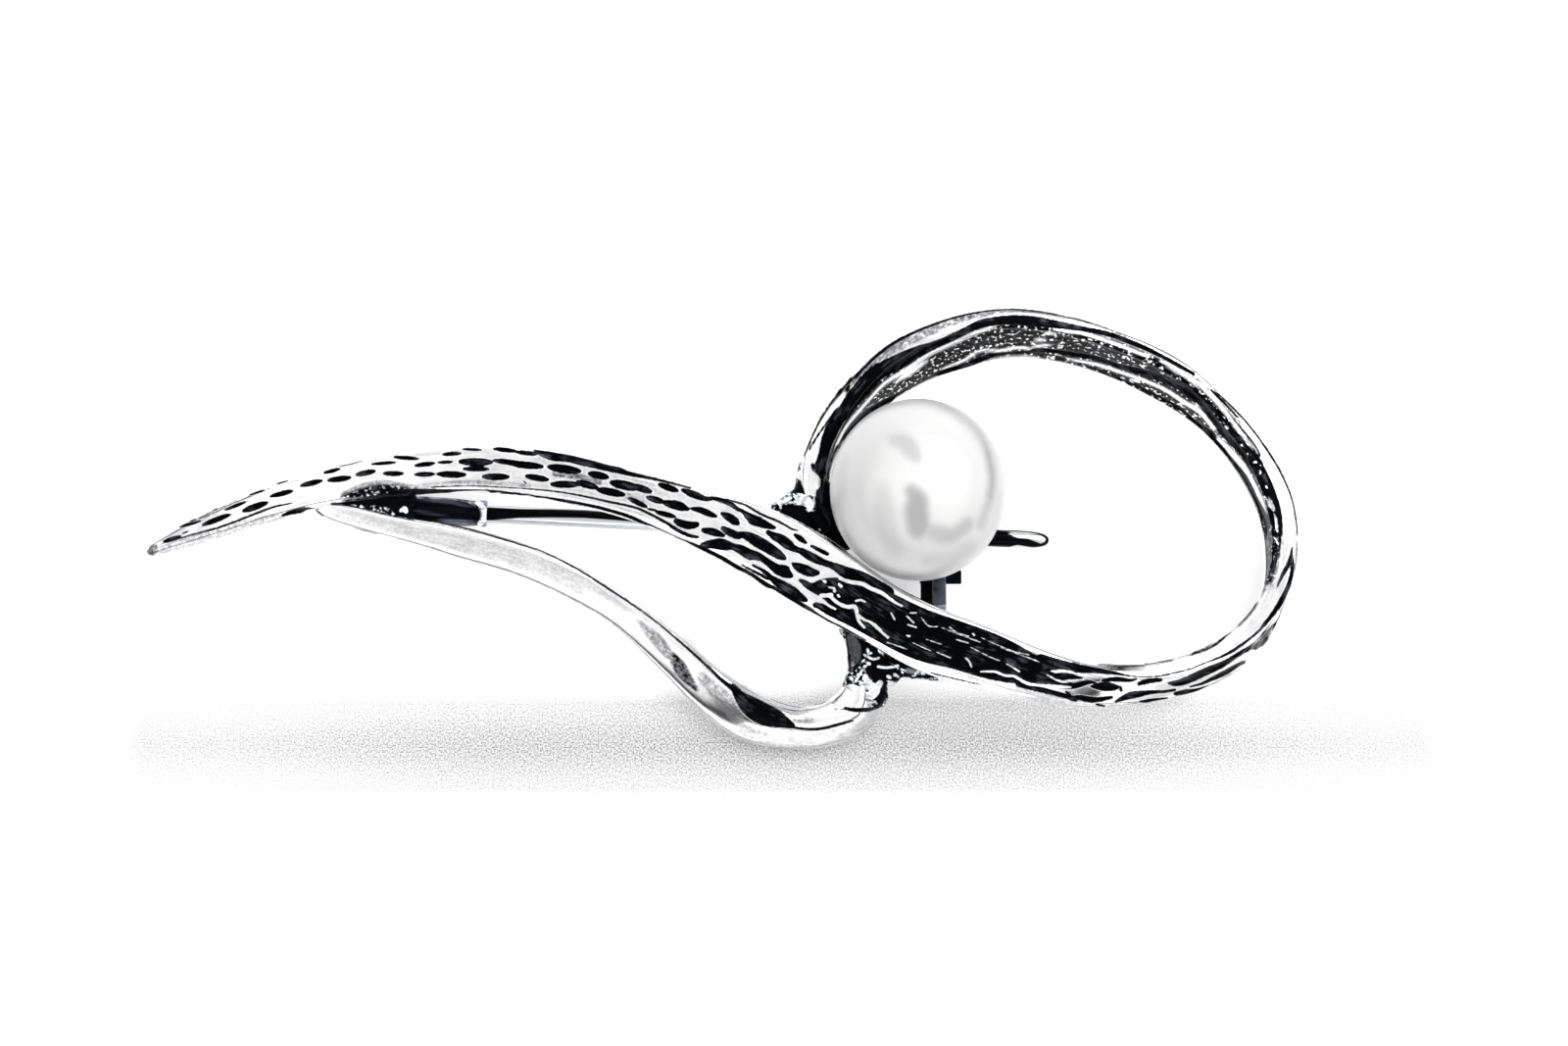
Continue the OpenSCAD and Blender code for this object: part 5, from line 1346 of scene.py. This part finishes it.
# Hinge sleeve: a tube with a closed nose, open below, and a collar at its tail
sleeveSizes = {
    "wall": 0.22,
    "end": 3.55,               # mm along the pin line
    "collar": 0.5,
    "skirt": 0.66,             # mm that it reaches down past the pin line
    "slot": 0.61,              # mm, half width of the slot that the wire swings out of
    "bore": (-0.75, 5.0),      # from and to, along the pin line
    # Columns: place along the pin line, radius
    "nose": [(-1.85, 0.0), (-1.84, 0.16), (-1.78, 0.3), (-1.6, 0.44), (-1.3, 0.6), (-1.0, 0.72),
             (-0.7, 0.79)],
    # Columns: place along the pin line, how much thinner it is than the tube
    "tube": [(-0.3, 0.0), (0.7, 0.0), (1.5, 0.02), (2.3, 0.07)],
    # Columns: place from the start of the collar, how much thinner it is than the tube
    "collarRows": [(0.0, 0.14), (0.03, 0.09), (0.1, 0.07), (0.38, 0.07), (0.47, 0.1), (0.5, 0.15)],
}
outer = channel + sleeveSizes["wall"]
collarStart = sleeveSizes["end"] - sleeveSizes["collar"]
sleeveRows = sleeveSizes["nose"] + [(x, outer - thinner) for x, thinner in sleeveSizes["tube"]]
sleeveRows += [(collarStart + x, outer - thinner) for x, thinner in sleeveSizes["collarRows"]]
sleeveRows.append((sleeveSizes["end"], 0.0))
sleeve = turnedPiece("hinge_sleeve", sleeveRows, onPinLine, fittingSilver, around=64)
boreFrom, boreTo = sleeveSizes["bore"]
boreRows = [(boreFrom, 0.0), (boreFrom, channel), (boreTo, channel), (boreTo, 0.0)]
cuts = [turnedPiece("boreCut", boreRows, onPinLine, fittingSilver, around=48)]
# Columns: name, half width, top and bottom, where it starts and ends along the pin line
for name, half, top, bottom, start, end in (
        ("slotCut", sleeveSizes["slot"], 0, -2, boreFrom, boreTo),
        ("skirtCut", 3, -sleeveSizes["skirt"], -4, -4, 6)):
    outline = [(-half, bottom), (half, bottom), (half, top), (-half, top)]
    cuts.append(pushedPiece(name, outline, start, end, onPinLine, fittingSilver))
cutBy(sleeve, *cuts)
inkPiece(sleeve, inks["sleeve"])

# Columns: place along the rivet, radius
rivetRows = [(-0.86, 0.0), (-0.85, 0.14), (-0.81, 0.2), (0.81, 0.2), (0.85, 0.14), (0.86, 0.0)]
acrossPin = Matrix.Rotation(math.pi / 2, 4, "Z")
rivet = turnedPiece("rivet_pin", rivetRows, onPinLine @ acrossPin, pinWire, around=24)
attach(sleeve, "brooch")
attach(rivet, "brooch")
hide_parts("hinge_rivet")

# Bracket under the pearl: two bars on edge and the ledge on them, all of blackened sheet
barHeight = pinLine["rivet"][2] + channel
barWide = 0.55
bracket = {
    # Columns: key of its marks, where it starts and ends along x, how far it is raised
    "bars": [("barNear", 11.1, 11.76, 0.0), ("barFar", 11.76, 12.54, 0.1)],
    "outline": [(-6.6, 3.6), (-4.6, 3.6), (-2.9, barHeight), (2.4, barHeight), (2.4, barHeight + barWide),
                (-2.5, barHeight + barWide), (-4.3, 4.35), (-6.6, 4.35)],  # y and z
    "ledge": {"x": (11.05, 13.4), "y": (-3.13, -2.35), "z": barHeight + 0.05, "thickness": 0.75},
}
pearlRoom = pearlSizes["room"]
pearlFrame = Matrix.Translation(Vector(pearlSizes["centre"]) + toOrigin)
halfTurn = [math.pi * k / 40 for k in range(41)]
ballRows = [(-pearlRoom * math.cos(t), pearlRoom * math.sin(t)) for t in halfTurn]
for i, (key, start, end, lift) in enumerate(bracket["bars"]):
    outline = [(y, z + lift) for y, z in bracket["outline"]]
    bar = pushedPiece(f"bracket_bar_{i + 1}", outline, start, end, inDrawing, fittingSilver, rounding=0.06)
    cutBy(bar, turnedPiece("roomCut", ballRows, pearlFrame, fittingSilver, axis="Z", around=80))
    inkPiece(bar, inks[key])
    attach(bar, "brooch")
ledgeSizes = bracket["ledge"]
low, high = ledgeSizes["z"], ledgeSizes["z"] + ledgeSizes["thickness"]
near, far = ledgeSizes["y"]
ledge = pushedPiece("bracket_ledge", [(near, low), (far, low), (far, high), (near, high)], *ledgeSizes["x"],
                    inDrawing, fittingSilver, rounding=0.08)

# The pearl's cup: its top follows the pearl, and its foot stands on the bracket
cupSizes = {
    "step": 0.16,              # mm between the rings of its top
    "rings": 11,
    "rim": [(2.2, 1.64), (2.0, 1.64)],  # height, radius
    "foot": [(barHeight - 0.02, 1.6), (barHeight - 0.04, 0.0)],
}
cupReach = [cupSizes["step"] * k for k in range(cupSizes["rings"])]
cupRows = [(pearlSizes["centre"][2] - math.sqrt(pearlRoom ** 2 - reach ** 2), reach) for reach in cupReach]
cupRows += cupSizes["rim"] + cupSizes["foot"]
cupFrame = Matrix.Translation(Vector((*pearlSizes["centre"][:2], 0)) + toOrigin)
cup = turnedPiece("pearl_cup", cupRows, cupFrame, fittingSilver, axis="Z", around=64)

# The catch: a plain fork that the wire lies in
forkSizes = {
    "outer": 1.0,              # mm, half width
    "low": -0.75,              # mm from the pin line to the ends of its prongs
    "web": 0.62,               # mm to its web
    "high": 0.9,
    "along": (28.1, 29.4),
}
side, low, web, high = (forkSizes[key] for key in ("outer", "low", "web", "high"))
forkOutline = [(-side, low), (-channel, low), (-channel, web), (channel, web),
               (channel, low), (side, low), (side, high), (-side, high)]
fork = pushedPiece("catch_fork", forkOutline, *forkSizes["along"], onPinLine, fittingSilver, rounding=0.06)
inkPiece(ledge, inks["ledge"])
inkPiece(cup, inks["cup"])
for piece in (ledge, cup, fork):
    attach(piece, "brooch")
print("pin, hinge and bracket ready")

# Solder: drops strung on lines, melted together, then roughened
solder = {
    "voxel": 0.06,             # mm
    "dropsOnLine": 7,
    "evening": 5,              # passes that even out the pool
    "firstSeed": 3.0,
    # Columns: key of its marks, height of the roughness and size of a grain in mm, then the lines, each with
    # x, y, z and radius of the drops at its two ends
    "loop_solder": ("loopSolder", 0.04, 0.5, [
        ((5.0, 3.3, 3.2, 0.85), (4.5, 1.9, 3.5, 0.6)), ((4.5, 1.9, 3.5, 0.6), (3.2, 1.25, 3.9, 0.35)),
        ((4.5, 1.9, 3.5, 0.6), (5.6, 0.4, 3.6, 0.7)), ((4.9, 1.4, 3.9, 0.55), (5.6, 0.2, 4.1, 0.5)),
        ((3.6, 1.0, 3.7, 0.45), (4.7, 0.3, 3.6, 0.6)), ((4.7, 0.3, 3.6, 0.6), (5.5, -0.4, 3.5, 0.6)),
        ((4.5, 1.9, 3.5, 0.6), (4.7, 0.3, 3.6, 0.6)),
        # the last four lines, from (5.3, 2.6) on, fill the shaded gap between the loop, the pearl and the
        # strand, so that it can be painted black as shade
        ((3.2, 1.25, 3.9, 0.35), (2.2, 1.1, 4.0, 0.2)), ((5.3, 2.6, 3.2, 0.6), (6.1, 1.8, 3.1, 0.5)),
        ((5.6, 0.4, 3.6, 0.7), (6.6, 0.6, 3.1, 0.6)), ((6.1, 1.8, 3.1, 0.5), (6.6, 0.0, 3.1, 0.6)),
        ((5.6, 0.4, 3.6, 0.7), (6.9, -0.8, 3.3, 0.5))]),
    "strand_solder": ("strandSolder", 0.15, 0.28, [
        ((8.1, -7.6, 2.7, 0.9), (7.1, -5.2, 3.2, 0.7)), ((8.1, -7.6, 2.7, 0.9), (8.9, -6.4, 3.6, 0.7)),
        ((8.1, -7.6, 2.7, 0.9), (10.3, -7.9, 3.6, 0.55)),
        ((10.3, -7.9, 3.6, 0.55), (12.2, -8.4, 3.9, 0.25)),
        ((8.1, -7.6, 2.7, 0.9), (9.3, -8.2, 3.0, 0.7)), ((8.1, -7.6, 2.7, 0.9), (8.6, -9.4, 2.4, 0.75)),
        ((8.1, -7.6, 2.7, 0.9), (7.4, -8.8, 2.6, 0.72))]),
    "hinge_solder": ("hingeSolder", 0.07, 0.3, [
        ((-21.4, 1.5, 2.45, 0.3), (-19.2, 1.7, 2.3, 0.5)),
        ((-19.2, 1.7, 2.3, 0.5), (-17.6, 1.6, 2.25, 0.5)),
        ((-20.4, 1.3, 2.3, 0.4), (-18.0, 1.0, 2.2, 0.6)),
        ((-19.6, 2.4, 2.5, 0.4), (-17.6, 2.5, 2.4, 0.35)), ((-19.2, 0.8, 2.3, 0.4), (-17.6, 0.5, 2.3, 0.4))]),
}


def makeSolderTree():
    tree, given = newTree("solderPool", {
        "voxel": "Float", "grit": "Float", "gritSize": "Float", "seed": "Float", "material": "Material"})
    lines = addNode(tree, "GeometryNodeMeshToCurve", [given["Geometry"]])
    lines = addNode(tree, "GeometryNodeResampleCurve", {
        "Curve": lines, "Count": solder["dropsOnLine"]}, mode="COUNT")
    size = addNode(tree, "GeometryNodeInputNamedAttribute", {"Name": "drop"}, **floatKind)
    ball = addNode(tree, "GeometryNodeMeshIcoSphere", {"Radius": 1.0, "Subdivisions": 3})
    drops = addNode(tree, "GeometryNodeInstanceOnPoints", {"Points": lines, "Instance": ball, "Scale": size})
    drops = addNode(tree, "GeometryNodeRealizeInstances", [drops])
    fill = addNode(tree, "GeometryNodeMeshToVolume", {
        "Mesh": drops, "Voxel Size": given["voxel"], "Interior Band Width": 0.4 * mm},
        resolution_mode="VOXEL_SIZE")
    melt = addNode(tree, "GeometryNodeVolumeToMesh", {"Volume": fill, "Threshold": 0.1, "Adaptivity": 0.0})
    spot = addNode(tree, "GeometryNodeInputPosition")
    spot = addNode(tree, "GeometryNodeBlurAttribute", [spot, solder["evening"]], **vectorKind)
    melt = addNode(tree, "GeometryNodeSetPosition", {"Geometry": melt, "Position": spot})
    fine = addNode(tree, "ShaderNodeMath", [1.0, given["gritSize"]], operation="DIVIDE")
    spot = addNode(tree, "GeometryNodeInputPosition")
    grit = addNode(tree, "ShaderNodeTexNoise", {
        "Vector": spot, "W": given["seed"], "Scale": fine, "Detail": 2.0}, noise_dimensions="4D")
    grit = addNode(tree, "ShaderNodeMath", [grit, -0.5], operation="ADD")
    grit = addNode(tree, "ShaderNodeMath", [grit, given["grit"]], operation="MULTIPLY")
    grit = addNode(tree, "ShaderNodeMath", [grit, 2.0], operation="MULTIPLY")
    outwards = addNode(tree, "GeometryNodeInputNormal")
    shove = addNode(tree, "ShaderNodeVectorMath", {"Vector": outwards, "Scale": grit}, operation="SCALE")
    melt = addNode(tree, "GeometryNodeSetPosition", {"Geometry": melt, "Offset": shove})
    melt = addNode(tree, "GeometryNodeSetShadeSmooth", [melt])
    melt = addNode(tree, "GeometryNodeRealizeInstances", [melt])
    melt = addNode(tree, "GeometryNodeSetMaterial", {"Geometry": melt, "Material": given["material"]})
    addNode(tree, "NodeGroupOutput", [melt])
    return tree


solderTree = makeSolderTree()
for i, name in enumerate(("loop_solder", "strand_solder", "hinge_solder")):
    ink, grit, gritSize, lines = solder[name]
    ends = [end for line in lines for end in line]
    spots = [(Vector(end[:3]) + toOrigin) * mm for end in ends]
    pool = meshPiece(name, spots, edges=[(2 * k, 2 * k + 1) for k in range(len(lines))])
    drop = pool.data.attributes.new("drop", "FLOAT", "POINT")
    for k, end in enumerate(ends):
        drop.data[k].value = end[3] * mm
    runTree(pool, solderTree, {
        "voxel": solder["voxel"] * mm, "grit": grit * mm, "gritSize": gritSize * mm,
        "seed": solder["firstSeed"] + i, "material": solderSilver})
    inkPiece(pool, inks[ink])
    print(name, "has", len(pool.data.polygons), "faces")
    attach(pool, "brooch")

# Floor, lamps and camera
studio = {
    "floor": "#EFEFEF",
    "floorReach": 3.0,           # m
    "floorGlow": 0.3,            # lit from below too, as a light table is
    "shadowGrain": 0.09,          # mm, the speckle of the painted shadow
    # the painted shadow, a soft grey band below the brooch: middle, half length at full tone and half length
    # in all, mm
    "shadeAlong": (3.4, 14, 36),
    "shadeAcross": (-12.2, 0, 2.4),
    "shadeThin": 0.78,           # share of the tone left where it ends
    "shadeEnd": (1.1, 1.0),      # it is gone at so many times its half length, and so many mm on
    "shadeTone": 0.42,
    "sensorWidth": 36,           # mm
    "cameraAway": 978,           # mm, so far that the view is almost flat
    "cameraOver": (3.4375, 0.3025),
    "sharpHeight": 3.0,          # mm above the floor, where the picture has its scale
    "sceneWidth": 88,            # mm of it from edge to edge of the picture
    "sky": "#F8F8F8",
    # Columns: height of the direction from and to, glow from and to
    "skyGlow": (0.12, 0.4, 0.02, 1.25),
    "skyDark": (0.72, 0.96, 0.0, 0.2),
}
reach = studio["floorReach"]
floorCorners = [(-reach, -reach, 0), (reach, -reach, 0), (reach, reach, 0), (-reach, reach, 0)]
floor = meshPiece("floor", floorCorners, [(0, 1, 2, 3)])
floorMaterial, floorTree = newMaterial("floor_paper")


# How much of the band's shade is left at a distance from its middle: it thins out, then ends
def bandShade(place, middle, flat, edge):
    gone = edge * studio["shadeEnd"][0] + studio["shadeEnd"][1]
    away = addNode(floorTree, "ShaderNodeMath", [place, -middle * mm], operation="ADD")
    away = addNode(floorTree, "ShaderNodeMath", [away], operation="ABSOLUTE")
    thin = addNode(floorTree, "ShaderNodeMapRange", [away, flat * mm, edge * mm, 1.0, studio["shadeThin"]],
                   **smooth)
    past = addNode(floorTree, "ShaderNodeMapRange", [away, edge * mm, gone * mm, 1.0, 0.0])
    return addNode(floorTree, "ShaderNodeMath", [thin, past], operation="MULTIPLY")


# painted shadow: a soft grey band on the floor below the brooch, speckled
floorPlace = addNode(floorTree, "ShaderNodeTexCoord", out="Object")
floorX, floorY, _ = addNode(floorTree, "ShaderNodeSeparateXYZ", [floorPlace]).node.outputs
shades = [bandShade(floorX, *studio["shadeAlong"]), bandShade(floorY, *studio["shadeAcross"])]
shade = addNode(floorTree, "ShaderNodeMath", shades, operation="MULTIPLY")
shadowNoise = addNode(floorTree, "ShaderNodeTexNoise", {
    "Vector": floorPlace, "Scale": 1 / (studio["shadowGrain"] * mm), "Detail": 1.0})
speckle = addNode(floorTree, "ShaderNodeMapRange", [shadowNoise, 0.3, 0.7, 0.45, 1.5])
shade = addNode(floorTree, "ShaderNodeMath", [shade, speckle], operation="MULTIPLY")
tone = addNode(floorTree, "ShaderNodeMapRange", [shade, 0.0, 1.0, 1.0, studio["shadeTone"]], clamp=False)
floorColour = addNode(floorTree, "ShaderNodeVectorMath", {
    0: linearColour(studio["floor"])[:3], "Scale": tone}, operation="SCALE")
glowing = addNode(floorTree, "ShaderNodeMath", [tone, studio["floorGlow"]], operation="MULTIPLY")
floorShader = addNode(floorTree, "ShaderNodeBsdfPrincipled", {
    "Base Color": floorColour, "Roughness": 0.9, "Specular IOR Level": 0.1,
    "Emission Color": "#FFFFFF", "Emission Strength": glowing})
addNode(floorTree, "ShaderNodeOutputMaterial", [floorShader])
floor.data.materials.append(floorMaterial)

camera = link(bpy.data.objects.new("camera", bpy.data.cameras.new("camera")))
camera.data.sensor_width = studio["sensorWidth"]
camera.data.lens = studio["sensorWidth"] * studio["cameraAway"] / studio["sceneWidth"]
camera.data.clip_start, camera.data.clip_end = 0.05, 10
cameraHeight = studio["cameraAway"] + studio["sharpHeight"]
camera.location = (Vector((*studio["cameraOver"], cameraHeight)) + toOrigin) * mm
bpy.context.scene.camera = camera

# Columns: name, compass bearing and height in degrees, distance, width and length in mm, brightness
lamps = [
    ("windowBox", 52, 46, 420, 420, 380, 3.2),
    ("leftBox", 275, 50, 500, 160, 260, 1.6),
    ("nearBox", 185, 40, 520, 300, 110, 1.6),
    ("farBox", 345, 17, 520, 460, 150, 1.3)]
for name, bearing, height, away, wide, long, brightness in lamps:
    light = bpy.data.lights.new(name, "AREA")
    light.shape, light.size, light.size_y = "RECTANGLE", wide * mm, long * mm
    light.energy = brightness * math.pi * light.size * light.size_y
    lamp = link(bpy.data.objects.new(name, light))
    b, h = math.radians(bearing), math.radians(height)
    lamp.location = Vector((math.sin(b) * math.cos(h), math.cos(b) * math.cos(h), math.sin(h))) * away * mm
    lamp.rotation_euler = lamp.location.to_track_quat("Z", "Y").to_euler()
    lamp.visible_camera = False

# The room: bright above the horizon and a little darker overhead
world = bpy.data.worlds.new("studio")
bpy.context.scene.world = world
world.use_nodes = True
world.node_tree.nodes.clear()
toward = addNode(world.node_tree, "ShaderNodeTexCoord")
height = addNode(world.node_tree, "ShaderNodeSeparateXYZ", [toward], out=2)
glow = addNode(world.node_tree, "ShaderNodeMapRange", [height, *studio["skyGlow"]], **smooth)
overhead = addNode(world.node_tree, "ShaderNodeMapRange", [height, *studio["skyDark"]], **smooth)
glow = addNode(world.node_tree, "ShaderNodeMath", [glow, overhead], operation="SUBTRACT")
sky = addNode(world.node_tree, "ShaderNodeBackground", {"Color": studio["sky"], "Strength": glow})
addNode(world.node_tree, "ShaderNodeOutputWorld", [sky])
bpy.context.scene.view_settings.view_transform = "Standard"
print("studio ready")
